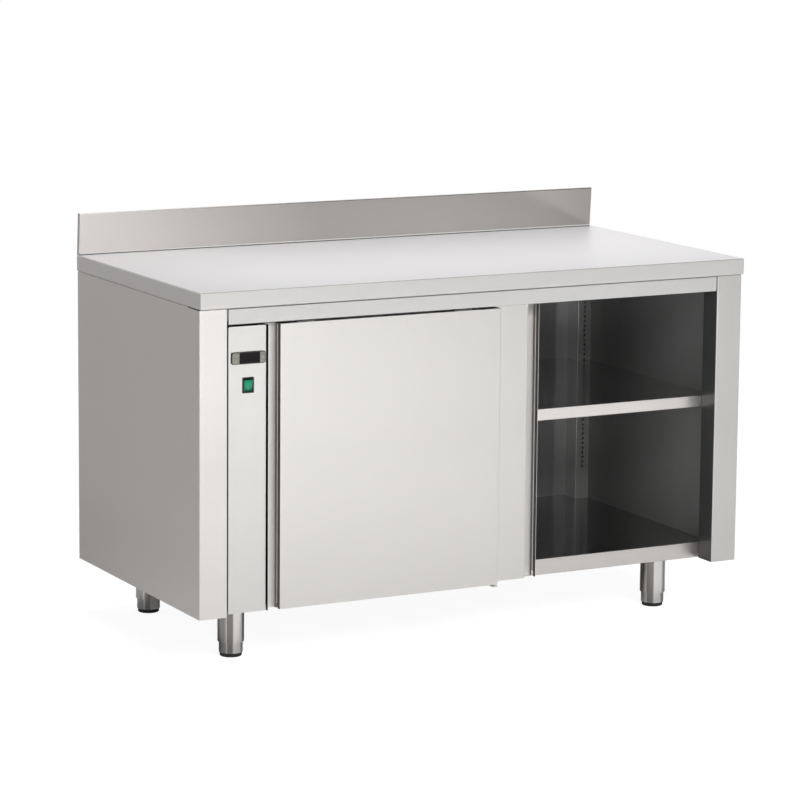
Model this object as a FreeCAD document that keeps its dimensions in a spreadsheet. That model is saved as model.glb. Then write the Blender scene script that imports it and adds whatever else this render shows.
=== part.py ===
import FreeCAD, Part
import math
import os
import types

import Sketcher

# Plate warmer cabinet: a steel hot cupboard with two sliding doors, a removable shelf,
# a control column at the left, a worktop with a splashback and four adjustable feet.
# Millimetres. X runs to the right, Y to the back and Z up.
# The origin is on the floor, under the middle of the worktop.
# The model stands as it is seen: front door closed, rear door slid behind it.

SIZES = {
    # whole cabinet
    "width": 1400.0,
    "depth": 700.0,
    "height": 850.0,
    "side_overhang": 1.0,
    "front_overhang": 8.0,
    "rear_overhang": 2.0,
    "body_bottom": 125.0,
    "sheet": 1.0,
    "bend": 2.0,
    "fit_gap": 0.3,
    "overrun": 5.0,
    # worktop and splashback
    "worktop_edge": 38.0,
    "worktop_sheet": 1.5,
    "worktop_lip": 25.0,
    "worktop_core": 18.0,
    "worktop_bend": 2.5,
    "seam_gap": 2.0,
    "splash_height": 98.0,
    "splash_thickness": 12.0,
    "splash_lean": 7.0,
    "splash_left_inset": 1.0,
    "splash_right_inset": 10.0,
    # side panels with posts and jambs
    "post_width": 67.0,
    "jamb_depth": 58.0,
    "jamb_lip": 18.0,
    "rear_flange": 25.0,
    "insulation": 10.0,
    "side_insulation": 34.0,
    "level_insulation": 20.0,
    # front rail and track
    "rail_height": 35.0,
    "rail_end_gap": 3.0,
    "rail_return": 9.0,
    "track_wall": 1.5,
    "track_height": 26.0,
    "track_channel": 24.0,
    "track_slot": 7.0,
    # control column
    "column_gap": 3.5,
    "column_width": 92.0,
    "column_recess": 3.0,
    "column_foot_gap": 6.0,
    "column_corner": 4.0,
    # doors
    "door_overlap": 5.0,
    "door_recess": 1.0,
    "door_thickness": 27.0,
    "door_gap": 3.0,
    "door_side_gap": 3.5,
    "door_stop_gap": 2.0,
    "door_top_gap": 5.0,
    "door_lift": 5.0,
    "door_sheet": 1.0,
    "rear_door_start": 117.0,
    "grip_width": 29.0,
    "grip_depth": 25.0,
    "groove_width": 8.0,
    "groove_height": 12.0,
    # hangers and rollers
    "hanger_inset": 95.0,
    "hanger_foot_length": 44.0,
    "hanger_foot_width": 14.0,
    "hanger_plate": 2.0,
    "hanger_width": 24.0,
    "hanger_head": 6.0,
    "axle_radius": 2.5,
    "axle_reach": 8.0,
    "roller_radius": 9.0,
    "roller_width": 6.0,
    "roller_side_gap": 0.4,
    "roller_chamfer": 0.8,
    "running_gap": 0.05,
    # door guides
    "guide_thickness": 2.0,
    "guide_width": 12.0,
    "guide_inset": 6.0,
    "guide_depth": 92.0,
    "guide_stud_radius": 2.5,
    "guide_stud_height": 13.0,
    # floor, ceiling and linings
    "floor_edge": 38.0,
    "floor_return": 22.0,
    "underside_start": 24.0,
    "shelf_plane_gap": 3.0,
    "tray_height": 33.0,
    # shelf and its supports
    "shelf_edge": 28.0,
    "shelf_lip": 22.0,
    "shelf_side_gap": 1.5,
    "upright_width": 36.6,
    "upright_depth": 54.4,
    "upright_sheet": 1.5,
    "slot_first_height": 244.8,
    "slot_pitch": 12.0,
    "slot_size": 5.0,
    "slot_inset": 20.0,
    "clip_height": 10.0,
    "clip_width": 24.0,
    "clip_reach": 12.0,
    "clip_tab": 4.0,
    "peg_radius": 4.0,
    "peg_reach": 13.0,
    "peg_inset": 61.0,
    "shelf_rest_gap": 0.2,
    # air slots in the partition
    "partition_lap": 16.0,
    "air_slot_height": 6.0,
    "air_slot_length": 96.0,
    "air_slot_pitch": 13.0,
    "return_slot_drop": 290.0,
    "return_slot_inset": 150.0,
    # controller
    "control_shift": 1.5,
    "controller_drop": 150.0,
    "bezel_width": 82.0,
    "bezel_height": 27.0,
    "bezel_depth": 3.5,
    "bezel_corner": 5.0,
    "window_width": 49.0,
    "window_height": 22.0,
    "window_shift": 2.5,
    "window_recess": 0.6,
    "housing_width": 71.0,
    "housing_height": 22.6,
    "housing_depth": 58.0,
    "key_width": 9.0,
    "key_height": 8.0,
    "key_depth": 2.7,
    "key_proud": 0.8,
    "key_gap": 0.25,
    "key_offset": 5.5,
    # rocker switch
    "switch_drop": 210.5,
    "switch_bezel_width": 27.0,
    "switch_bezel_height": 35.0,
    "switch_bezel_depth": 2.0,
    "switch_body_width": 24.0,
    "switch_body_height": 33.0,
    "switch_body_depth": 24.0,
    "switch_cavity_width": 21.0,
    "switch_cavity_height": 30.0,
    "switch_cavity_depth": 14.0,
    "rocker_width": 20.0,
    "rocker_half_height": 13.3,
    "rocker_front": 8.2,
    "rocker_dip": 1.0,
    "rocker_rear": 5.0,
    "rocker_rear_half": 6.0,
    "rocker_pivot_depth": 7.0,
    "rocker_pin_radius": 1.5,
    "rocker_pin_reach": 1.4,
    # fan, duct and heater
    "fan_place": 60.0,
    "fan_height": 330.0,
    "fan_square": 120.0,
    "fan_depth": 38.0,
    "fan_bore": 57.0,
    "fan_hub": 20.0,
    "fan_hub_depth": 12.0,
    "fan_strut": 6.0,
    "fan_shaft": 3.0,
    "fan_shaft_reach": 20.0,
    "fan_hub_gap": 2.0,
    "rotor_hub": 22.0,
    "rotor_length": 16.0,
    "rotor_radius": 54.0,
    "blade_thickness": 1.6,
    "blade_chord": 15.0,
    "duct_length": 55.0,
    "element_radius": 4.0,
    "element_bend": 14.0,
    "element_run": 62.0,
    "element_tail": 12.0,
    # probe, terminals, wiring and gland
    "probe_radius": 3.0,
    "probe_drop": 150.0,
    "probe_place": -100.0,
    "probe_reach": 32.0,
    "probe_tail": 18.0,
    "probe_collar_radius": 7.0,
    "probe_collar": 4.0,
    "terminal_left": 28.0,
    "terminal_length": 60.0,
    "terminal_depth": 22.0,
    "terminal_height": 22.0,
    "terminal_base": 222.0,
    "terminal_well_radius": 2.6,
    "terminal_well_depth": 6.0,
    "harness_radius": 4.0,
    "harness_lead": 66.0,
    "gland_side": 49.0,
    "gland_rear": 58.0,
    "gland_bore": 6.0,
    "gland_tube": 9.0,
    "gland_nut": 14.0,
    "gland_nut_height": 7.0,
    "gland_drop": 12.0,
    "gland_hole_gap": 0.2,
    # legs and feet
    "leg_side": 141.0,
    "leg_front": 141.0,
    "leg_rear": 86.0,
    "leg_plate": 3.0,
    "leg_plate_width": 90.0,
    "leg_radius": 30.0,
    "leg_wall": 2.9,
    "leg_bottom": 34.0,
    "sleeve_gap": 0.1,
    "sleeve_wall": 3.0,
    "sleeve_top": 82.0,
    "sleeve_floor": 4.0,
    "pad_height": 9.0,
    "pad_inset": 2.0,
    "pad_chamfer": 1.5,
    # screws
    "screw_radius": 3.0,
    "screw_head_radius": 5.5,
    "screw_head": 3.6,
    "screw_inset": 12.0,
    "rear_screw_radius": 1.8,
    "rear_screw_head_radius": 3.6,
    "rear_screw_head": 1.6,
    "rear_screw_end": 60.0,
}
SLOT_COUNT = 43
SHELF_SLOT = 20
AIR_SLOTS = 8
RETURN_SLOTS = 5
BLADES = 7
BLADE_PITCH_DEGREES = 38.0
TERMINAL_WELLS = 5
REAR_SCREWS = 5
ROCKER_TILT_DEGREES = 9.0
ARC_SHARE = 0.45
# Route of the inner cable bundle between its two straight leads, from the controller to the terminals:
# distance from the left side sheet, share of the way back, share of the way down
HARNESS_ROUTE = (
    (76.0, 0.230, 0.056),
    (42.0, 0.362, 0.158),
    (34.0, 0.511, 0.287),
    (35.0, 0.650, 0.437),
    (36.0, 0.765, 0.617),
    (47.0, 0.835, 0.809),
)

document = FreeCAD.newDocument("PlateWarmerCabinet")
sheet = document.addObject("Spreadsheet::Sheet", "Sizes")
for row, (alias, number) in enumerate(SIZES.items(), start=1):
    sheet.set(f"A{row}", alias)
    sheet.set(f"B{row}", str(number))
    sheet.setAlias(f"B{row}", alias)
document.recompute()


class Size:
    """A length with its number and the sheet formula that gives it."""

    def __init__(self, number, formula):
        self.number = number
        self.formula = formula

    def __add__(self, other):
        other = as_size(other)
        return Size(self.number + other.number, f"({self.formula} + {other.formula})")

    def __sub__(self, other):
        other = as_size(other)
        return Size(self.number - other.number, f"({self.formula} - {other.formula})")

    def __mul__(self, factor):
        return Size(self.number * factor, f"({self.formula} * {factor})")

    def __truediv__(self, factor):
        return Size(self.number / factor, f"({self.formula} / {factor})")

    def __neg__(self):
        return Size(-self.number, f"(-{self.formula})")

    __rmul__ = __mul__


def as_size(value):
    """Zero and other plain counts beside a length."""
    return value if isinstance(value, Size) else Size(float(value), str(value))


ZERO = as_size(0)
S = types.SimpleNamespace(**{alias: Size(number, f"Sizes.{alias}") for alias, number in SIZES.items()})
nodes = {}


def bind(thing, path, size):
    """Tie one property of an object to the sheet."""
    thing.setExpression(path, as_size(size).formula)


def place(thing, x, y, z):
    """Tie the place of an object to the sheet."""
    for path, size in (("x", x), ("y", y), ("z", z)):
        bind(thing, f"Placement.Base.{path}", size)


def node(name, thing):
    """Keep an object as a sub-part under its own label."""
    thing.Label = name
    nodes[name] = thing
    return thing


def box(name, x, y, z):
    """A block between two planes on each axis."""
    block = document.addObject("Part::Box", name)
    for path, span in (("Length", x), ("Width", y), ("Height", z)):
        bind(block, path, span[1] - span[0])
    place(block, x[0], y[0], z[0])
    return block


TURNS = {
    "X": FreeCAD.Rotation(FreeCAD.Vector(0, 1, 0), 90),
    "Y": FreeCAD.Rotation(FreeCAD.Vector(1, 0, 0), -90),
    "Z": FreeCAD.Rotation(),
}


def cylinder(name, axis, radius, length, x, y, z):
    """A round bar that starts at a point and runs along one axis."""
    bar = document.addObject("Part::Cylinder", name)
    bar.Placement = FreeCAD.Placement(FreeCAD.Vector(), TURNS[axis])
    bind(bar, "Radius", radius)
    bind(bar, "Height", length)
    place(bar, x, y, z)
    return bar


def fuse(name, *shapes):
    """Several shapes made one."""
    union = document.addObject("Part::MultiFuse", name)
    union.Shapes = list(shapes)
    return union


def group(name, *shapes):
    """Separate solids kept together in one sub-part."""
    pile = document.addObject("Part::Compound", name)
    pile.Links = list(shapes)
    return pile


def cut(name, base, *tools):
    """A shape with others taken out of it."""
    result = document.addObject("Part::Cut", name)
    result.Base = base
    result.Tool = tools[0] if len(tools) == 1 else fuse(f"{name}_tools", *tools)
    return result


def closed_outline(name, role, points, span):
    """A body whose closed outline is drawn on one origin plane and padded along its normal.

    The outline's two coordinates are X and Y on XY_Plane, Y and Z on YZ_Plane.
    """
    body = document.addObject("PartDesign::Body", name)
    sketch = body.newObject("Sketcher::SketchObject", f"{name}_sketch")
    plane = next(part for part in body.Origin.OriginFeatures if part.Role == role)
    sketch.AttachmentSupport = [(plane, "")]
    sketch.MapMode = "FlatFace"
    bind(sketch, "AttachmentOffset.Base.z", span[0])
    corners = [FreeCAD.Vector(a.number, b.number, 0) for a, b in points]
    for index, corner in enumerate(corners):
        sketch.addGeometry(Part.LineSegment(corner, corners[(index + 1) % len(corners)]))
    for index in range(len(corners)):
        following = (index + 1) % len(corners)
        sketch.addConstraint(Sketcher.Constraint("Coincident", index, 2, following, 1))
    for index, (a, b) in enumerate(points):
        for kind, size in (("DistanceX", a), ("DistanceY", b)):
            constraint = Sketcher.Constraint(kind, -1, 1, index, 1, size.number)
            number = sketch.addConstraint(constraint)
            bind(sketch, f"Constraints[{number}]", size)
    pad = body.newObject("PartDesign::Pad", f"{name}_pad")
    pad.Profile = sketch
    bind(pad, "Length", span[1] - span[0])
    sketch.Visibility = False
    document.recompute()
    return body


AXES = {"XY_Plane": (0, 1, 2), "YZ_Plane": (1, 2, 0)}
TOUCH = 1e-4


def edges_at(shape, role, corners):
    """Names of the straight edges along a plane's normal that pass through given outline points."""
    first, second, normal = AXES[role]
    names = []
    for index, edge in enumerate(shape.Edges, start=1):
        ends = [vertex.Point for vertex in edge.Vertexes]
        if len(ends) != 2 or abs(ends[0][first] - ends[1][first]) > TOUCH:
            continue
        if abs(ends[0][second] - ends[1][second]) > TOUCH or abs(ends[0][normal] - ends[1][normal]) < TOUCH:
            continue
        for a, b in corners:
            if abs(ends[0][first] - a.number) < TOUCH and abs(ends[0][second] - b.number) < TOUCH:
                names.append(f"Edge{index}")
    return names


def round_edges(body, name, role, corners, radius):
    """Round the edges of a padded outline at some of its points."""
    base = body.Tip
    names = edges_at(base.Shape, role, corners)
    fillet = body.newObject("PartDesign::Fillet", name)
    fillet.Base = (base, names)
    bind(fillet, "Radius", radius)
    document.recompute()
    return body


def round_all_edges(body, name, radius):
    """Round every edge of a padded block."""
    base = body.Tip
    fillet = body.newObject("PartDesign::Fillet", name)
    fillet.Base = (base, [f"Edge{index}" for index in range(1, len(base.Shape.Edges) + 1)])
    bind(fillet, "Radius", radius)
    document.recompute()
    return body


def folded_sheet(name, role, path, thickness, span, side, bend=None):
    """A sheet folded along straight lines.

    The path is its outer face, and the sheet lies on the path's left (side 1) or right (side -1).
    """
    bend = bend or S.bend
    ways = []
    for (a, b), (c, d) in zip(path, path[1:]):
        run = (c.number - a.number, d.number - b.number)
        length = math.hypot(*run)
        ways.append((round(run[0] / length), round(run[1] / length)))
    normals = [(-way[1] * side, way[0] * side) for way in ways]
    inner = []
    for index, (a, b) in enumerate(path):
        near = normals[max(index - 1, 0):index + 1]
        shift = [sum({way[axis] for way in near}) for axis in (0, 1)]
        inner.append((a + thickness * shift[0], b + thickness * shift[1]))
    body = closed_outline(name, role, list(path) + inner[::-1], span)
    outside, inside = [], []
    for index in range(1, len(path) - 1):
        turn = ways[index - 1][0] * ways[index][1] - ways[index - 1][1] * ways[index][0]
        toward = turn * side > 0
        outside.append(path[index] if toward else inner[index])
        inside.append(inner[index] if toward else path[index])
    round_edges(body, f"{name}_outer_bends", role, outside, bend)
    round_edges(body, f"{name}_inner_bends", role, inside, bend - thickness)
    return body


def mirrored(path):
    """The same plan outline on the other side of the middle."""
    return [(-a, b) for a, b in path]


# Planes that the pieces share

half_width = S.width / 2
side_face = half_width - S.side_overhang
side_inner = side_face - S.sheet
body_front = S.front_overhang - S.depth / 2
body_back = S.depth / 2 - S.rear_overhang
worktop_under = S.height - S.worktop_edge
body_top = worktop_under - S.seam_gap
post_inner = side_face - S.post_width
jamb_back = body_front + S.jamb_depth
rear_panel_back = body_back - S.sheet
rear_panel_front = rear_panel_back - S.sheet
rear_lining_back = rear_panel_front - S.insulation
rear_lining_front = rear_lining_back - S.sheet
lining_outer = side_inner - S.side_insulation
lining_inner = lining_outer - S.sheet
rail_bottom = body_top - S.rail_height
door_top = rail_bottom - S.door_top_gap
door_bottom = S.body_bottom + S.door_lift
column_left = S.column_gap - post_inner
column_right = column_left + S.column_width
column_front = body_front + S.column_recess
column_centre = (column_left + column_right) / 2 + S.control_shift
partition_right = column_right - S.sheet
partition_left = partition_right - S.sheet
front_door_front = body_front + S.door_recess
rear_door_front = front_door_front + S.door_thickness + S.door_gap
shelf_front = rear_door_front + S.door_thickness + S.shelf_plane_gap
floor_top = S.body_bottom + S.floor_edge
tray_bottom = worktop_under - S.tray_height
opening_left = column_right + S.door_side_gap
opening_right = post_inner - S.door_stop_gap
front_door_left = opening_left
door_width = (opening_right - opening_left + S.door_overlap) / 2
rear_door_left = opening_left + S.rear_door_start
controller_height = S.height - S.controller_drop
switch_height = S.height - S.switch_drop
probe_height = S.height - S.probe_drop
return_slot_height = S.height - S.return_slot_drop
slot_height = S.slot_first_height + S.slot_pitch * SHELF_SLOT
clip_top = slot_height + S.clip_height / 2
shelf_bottom = clip_top + S.shelf_rest_gap
shelf_top = shelf_bottom + S.shelf_edge


# Worktop: one sheet folded down on four sides, with return lips, over a board

worktop_block = closed_outline(
    "worktop_block", "YZ_Plane",
    [(-S.depth / 2, worktop_under), (S.depth / 2, worktop_under),
     (S.depth / 2, S.height), (-S.depth / 2, S.height)],
    (-half_width, half_width))
round_all_edges(worktop_block, "worktop_bends", S.worktop_bend)
worktop_top_inner = S.height - S.worktop_sheet
skirt_inner_x = half_width - S.worktop_sheet
skirt_inner_y = S.depth / 2 - S.worktop_sheet
worktop_hollow = box("worktop_hollow", (-skirt_inner_x, skirt_inner_x), (-skirt_inner_y, skirt_inner_y),
                     (worktop_under + S.worktop_sheet, worktop_top_inner))
lip_x = half_width - S.worktop_lip
lip_y = S.depth / 2 - S.worktop_lip
worktop_mouth = box("worktop_mouth", (-lip_x, lip_x), (-lip_y, lip_y),
                    (worktop_under - S.overrun, worktop_under + S.overrun))
node("worktop_sheet", cut("worktop_folded", worktop_block, worktop_hollow, worktop_mouth))
node("worktop_core", box(
    "core_board",
    (S.fit_gap - skirt_inner_x, skirt_inner_x - S.fit_gap),
    (S.fit_gap - skirt_inner_y, skirt_inner_y - S.fit_gap),
    (worktop_top_inner - S.worktop_core, worktop_top_inner)))

# Splashback: a hollow folded upstand that leans a little forward

splash_top = S.height + S.splash_height
splash_left = S.splash_left_inset - half_width
splash_right = half_width - S.splash_right_inset
splash_back = S.depth / 2
splash_outer = closed_outline(
    "splash_outer", "YZ_Plane",
    [(splash_back - S.splash_thickness, S.height), (splash_back, S.height),
     (splash_back - S.splash_lean, splash_top),
     (splash_back - S.splash_lean - S.splash_thickness, splash_top)],
    (splash_left, splash_right))
round_edges(splash_outer, "splash_top_bends", "YZ_Plane",
            [(splash_back - S.splash_lean, splash_top),
             (splash_back - S.splash_lean - S.splash_thickness, splash_top)], S.bend)
splash_inner = closed_outline(
    "splash_inner", "YZ_Plane",
    [(splash_back - S.splash_thickness + S.worktop_sheet, S.height - S.worktop_sheet),
     (splash_back - S.worktop_sheet, S.height - S.worktop_sheet),
     (splash_back - S.splash_lean - S.worktop_sheet, splash_top - S.worktop_sheet),
     (splash_back - S.splash_lean - S.splash_thickness + S.worktop_sheet, splash_top - S.worktop_sheet)],
    (splash_left + S.worktop_sheet, splash_right - S.worktop_sheet))
node("splashback", cut("splash_folded", splash_outer, splash_inner))

# Side panels: side, front post and jamb folded from one sheet

rear_screw_places = []
for number in range(REAR_SCREWS):
    low = S.body_bottom + S.rear_screw_end
    high = body_top - S.rear_screw_end
    rear_screw_places.append(low + (high - low) * (number / (REAR_SCREWS - 1)))
rear_screw_column = side_face - S.screw_inset


def rear_screw_holes(name, sign):
    """Holes of the rear panel's screws on one side."""
    depth = S.sheet * 2 + S.overrun * 2
    return [cylinder(f"{name}_{number}", "Y", S.rear_screw_radius + S.gland_hole_gap, depth,
                     rear_screw_column * sign, rear_panel_front - S.overrun, height)
            for number, height in enumerate(rear_screw_places)]


right_side_path = [
    (side_face - S.rear_flange, body_back), (side_face, body_back), (side_face, body_front),
    (post_inner, body_front), (post_inner, jamb_back), (post_inner + S.jamb_lip, jamb_back)]
body_span = (S.body_bottom, body_top)
right_side_fold = folded_sheet("right_side_fold", "XY_Plane", right_side_path, S.sheet, body_span, -1)
left_side_fold = folded_sheet("left_side_fold", "XY_Plane", mirrored(right_side_path), S.sheet, body_span, 1)
node("right_side_panel", cut("right_side_drilled", right_side_fold, *rear_screw_holes("right_hole", 1)))
node("left_side_panel", cut("left_side_drilled", left_side_fold, *rear_screw_holes("left_hole", -1)))

rear_plate = box("rear_plate", (S.bend - side_inner, side_inner - S.bend),
                 (rear_panel_front, rear_panel_back), (S.body_bottom, body_top))
rear_holes = rear_screw_holes("rear_right_hole", 1) + rear_screw_holes("rear_left_hole", -1)
node("rear_panel", cut("rear_drilled", rear_plate, *rear_holes))

# Inner walls of the heated space

floor_end = rear_panel_front - S.fit_gap
right_lining_plate = box("right_lining_plate", (lining_inner, lining_outer),
                         (shelf_front + S.sheet, rear_lining_front), (floor_top, tray_bottom))
node("rear_lining", box("rear_lining_plate", (partition_right, lining_outer),
                        (rear_lining_front, rear_lining_back), (floor_top, tray_bottom)))
tray_side = side_inner - S.fit_gap
tray_outer = box("tray_outer", (-tray_side, tray_side), (shelf_front, floor_end),
                 (tray_bottom, worktop_under))
tray_inner = box("tray_inner", (S.sheet - tray_side, tray_side - S.sheet),
                 (shelf_front + S.sheet, floor_end - S.sheet),
                 (tray_bottom + S.sheet, worktop_under + S.overrun))
node("top_tray", cut("tray_folded", tray_outer, tray_inner))

# Heated floor with its front edge, and the sheet that closes it from below

gland_x = S.gland_side - side_face
gland_y = body_back - S.gland_rear
gland_hole = S.gland_tube + S.gland_hole_gap


def gland_passage(name, low, high):
    """The hole that the mains gland goes through in one sheet."""
    return cylinder(name, "Z", gland_hole, high - low + S.overrun * 2, gland_x, gland_y, low - S.overrun)


floor_fold = folded_sheet(
    "floor_fold", "YZ_Plane",
    [(shelf_front + S.floor_return, S.body_bottom), (shelf_front, S.body_bottom),
     (shelf_front, floor_top), (floor_end, floor_top)],
    S.sheet, (-tray_side, tray_side), -1)
node("floor_pan", cut("floor_drilled", floor_fold,
                      gland_passage("floor_passage", floor_top - S.sheet, floor_top)))

leg_places = {
    "front_left": (S.leg_side - side_face, body_front + S.leg_front),
    "front_right": (side_face - S.leg_side, body_front + S.leg_front),
    "rear_left": (S.leg_side - side_face, body_back - S.leg_rear),
    "rear_right": (side_face - S.leg_side, body_back - S.leg_rear),
}
plate_half = S.leg_plate_width / 2
screw_reach = plate_half - S.screw_inset
leg_screw_places = [(x + screw_reach * across, y + screw_reach * along)
                    for x, y in leg_places.values() for across in (-1, 1) for along in (-1, 1)]
plate_bottom = S.body_bottom - S.leg_plate


def leg_screw_holes(name):
    """Holes of the leg screws through the plates and the sheet above them."""
    return [cylinder(f"{name}_{number}", "Z", S.screw_radius + S.gland_hole_gap,
                     S.leg_plate + S.sheet + S.overrun * 2, x, y, plate_bottom - S.overrun)
            for number, (x, y) in enumerate(leg_screw_places)]


underside_plate = box("underside_plate", (-tray_side, tray_side),
                      (shelf_front + S.underside_start, floor_end),
                      (S.body_bottom, S.body_bottom + S.sheet))
underside_passage = gland_passage("underside_passage", S.body_bottom, S.body_bottom + S.sheet)
node("underside_panel", cut("underside_drilled", underside_plate, underside_passage,
                            *leg_screw_holes("underside_hole")))

# Insulation boards in the right wall, the back, the floor and the ceiling

board_front = shelf_front + S.underside_start
side_board = box("side_board", (lining_outer, side_inner), (board_front, rear_panel_front),
                 (floor_top, tray_bottom))
rear_board = box("rear_board", (partition_right, lining_outer), (rear_lining_back, rear_panel_front),
                 (floor_top, tray_bottom))
floor_block = box("floor_block", (-tray_side, tray_side), (board_front, floor_end),
                  (S.body_bottom + S.sheet, S.body_bottom + S.sheet + S.level_insulation))
floor_board = cut("floor_board", floor_block,
                  gland_passage("board_passage", S.body_bottom, S.body_bottom + S.sheet + S.level_insulation))
ceiling_board = box("ceiling_board", (S.sheet - tray_side, tray_side - S.sheet),
                    (shelf_front + S.sheet, floor_end - S.sheet),
                    (tray_bottom + S.sheet, tray_bottom + S.sheet + S.level_insulation))
node("insulation_boards", group("insulation_group", side_board, rear_board, floor_board, ceiling_board))

# Front rail, and the double track that the doors hang from

rail_back = rear_door_front + S.door_thickness
node("top_rail", folded_sheet(
    "rail_fold", "YZ_Plane",
    [(body_front + S.rail_return, rail_bottom), (body_front, rail_bottom),
     (body_front, body_top), (rail_back, body_top)],
    S.sheet, (S.rail_end_gap - post_inner, post_inner - S.rail_end_gap), -1))

track_top = body_top - S.sheet
track_bottom = track_top - S.track_height
track_span = (-post_inner, post_inner)
track_over = (-post_inner - S.overrun, post_inner + S.overrun)
door_middles = {
    "front_door": front_door_front + S.door_thickness / 2,
    "rear_door": rear_door_front + S.door_thickness / 2,
}
half_channel = S.track_channel / 2
track_block = box("track_block", track_span,
                  (door_middles["front_door"] - half_channel, door_middles["rear_door"] + half_channel),
                  (track_bottom, track_top))
track_tools = []
for door, middle in door_middles.items():
    bay = half_channel - S.track_wall
    track_tools.append(box(f"{door}_bay", track_over, (middle - bay, middle + bay),
                           (track_bottom + S.track_wall, track_top - S.track_wall)))
    track_tools.append(box(f"{door}_slot", track_over, (middle - S.track_slot / 2, middle + S.track_slot / 2),
                           (track_bottom - S.overrun, track_bottom + S.overrun)))
track_tools.append(box("track_middle", track_over,
                       (door_middles["front_door"] + half_channel, door_middles["rear_door"] - half_channel),
                       (track_bottom - S.overrun, track_top - S.track_wall)))
node("door_track", cut("track_profile", track_block, *track_tools))

# Guide strip under the doors, with one stud for each door, where both doors always overlap it

guide_low = S.body_bottom - S.guide_thickness
guide_x = (opening_left + opening_right) / 2
guide_parts = [box("guide_strip", (guide_x - S.guide_width / 2, guide_x + S.guide_width / 2),
                   (front_door_front + S.guide_inset, front_door_front + S.guide_depth),
                   (guide_low, S.body_bottom))]
for door, middle in door_middles.items():
    guide_parts.append(cylinder(f"{door}_stud", "Z", S.guide_stud_radius, S.guide_stud_height,
                                guide_x, middle, guide_low))
node("bottom_guide", fuse("guide_welded", *guide_parts))

# Sliding doors: folded skin with a full-height grip channel, liner, insulation and hangers

axle_height = track_bottom + S.track_wall + S.fit_gap + S.roller_radius


def hanger(name, x, middle):
    """A bracket on the door's top with the axle of one wheel pair."""
    foot = box(f"{name}_foot", (x - S.hanger_foot_length / 2, x + S.hanger_foot_length / 2),
               (middle - S.hanger_foot_width / 2, middle + S.hanger_foot_width / 2),
               (door_top, door_top + S.hanger_plate))
    stem = box(f"{name}_stem", (x - S.hanger_width / 2, x + S.hanger_width / 2),
               (middle - S.hanger_plate / 2, middle + S.hanger_plate / 2),
               (door_top, axle_height + S.hanger_head))
    axle = cylinder(f"{name}_axle", "Y", S.axle_radius, S.axle_reach * 2,
                    x, middle - S.axle_reach, axle_height)
    return fuse(name, foot, stem, axle)


def roller_pair(name, x, middle):
    """Two wheels that run on the lips of the track, one each side of the bracket."""
    wheels = []
    inner = S.hanger_plate / 2 + S.roller_side_gap
    for number, start in enumerate((inner, -inner - S.roller_width)):
        rim = cylinder(f"{name}_rim_{number}", "Y", S.roller_radius - S.roller_chamfer, S.roller_width,
                       x, middle + start, axle_height)
        tread = cylinder(f"{name}_tread_{number}", "Y", S.roller_radius,
                         S.roller_width - S.roller_chamfer * 2,
                         x, middle + start + S.roller_chamfer, axle_height)
        bore = cylinder(f"{name}_bore_{number}", "Y", S.axle_radius + S.running_gap,
                        S.roller_width + S.overrun * 2, x, middle + start - S.overrun, axle_height)
        wheels.append(cut(f"{name}_wheel_{number}", fuse(f"{name}_disc_{number}", rim, tread), bore))
    return group(f"{name}_pair", *wheels)


def sliding_door(name, left, front, grip_on_left):
    """One door with its grip channel at its left or its right end."""
    right = left + door_width
    skin_back = front + S.door_thickness - S.door_sheet
    middle = door_middles[name]
    if grip_on_left:
        end, way, tail = left, 1, right
    else:
        end, way, tail = right, -1, left
    grip_wall = end + S.grip_width * way
    channel = front + S.grip_depth
    path = [(tail, skin_back), (tail, front), (grip_wall, front), (grip_wall, channel),
            (end + S.door_sheet * way, channel), (end + S.door_sheet * way, front)]
    span = (door_bottom, door_top)
    fold = folded_sheet(f"{name}_fold", "XY_Plane", path, S.door_sheet, span, -way, bend=S.door_sheet * 1.5)
    inner_x = sorted((tail - S.door_sheet * way, grip_wall + S.door_sheet * way),
                     key=lambda size: size.number)
    inner_y = (front + S.door_sheet, skin_back)
    top_cap = box(f"{name}_top_cap", inner_x, inner_y, (door_top - S.door_sheet, door_top))
    bottom_cap = box(f"{name}_bottom_cap", inner_x, inner_y, (door_bottom, door_bottom + S.door_sheet))
    groove = box(f"{name}_groove", (left - S.overrun, right + S.overrun),
                 (middle - S.groove_width / 2, middle + S.groove_width / 2),
                 (door_bottom - S.overrun, door_bottom + S.groove_height))
    node(f"{name}_skin", cut(f"{name}_grooved", fuse(f"{name}_shell", fold, top_cap, bottom_cap), groove))
    node(f"{name}_liner", box(f"{name}_back", (left, right), (skin_back, skin_back + S.door_sheet), span))
    board_x = (inner_x[0] + S.door_sheet, inner_x[1] - S.door_sheet)
    node(f"{name}_insulation", box(
        f"{name}_board", board_x, inner_y,
        (door_bottom + S.groove_height + S.door_sheet, door_top - S.door_sheet)))
    hanger_x = (left + S.hanger_inset, right - S.hanger_inset)
    node(f"{name}_hangers", group(f"{name}_hanger_pair", *[
        hanger(f"{name}_hanger_{number}", x, middle) for number, x in enumerate(hanger_x)]))
    for side, x in zip(("left", "right"), hanger_x):
        node(f"{name}_roller_{side}", roller_pair(f"{name}_{side}", x, middle))


sliding_door("front_door", front_door_left, front_door_front, True)
sliding_door("rear_door", rear_door_left, rear_door_front, False)

# Control column: cover with its cut-outs, controller and rocker switch

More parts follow.
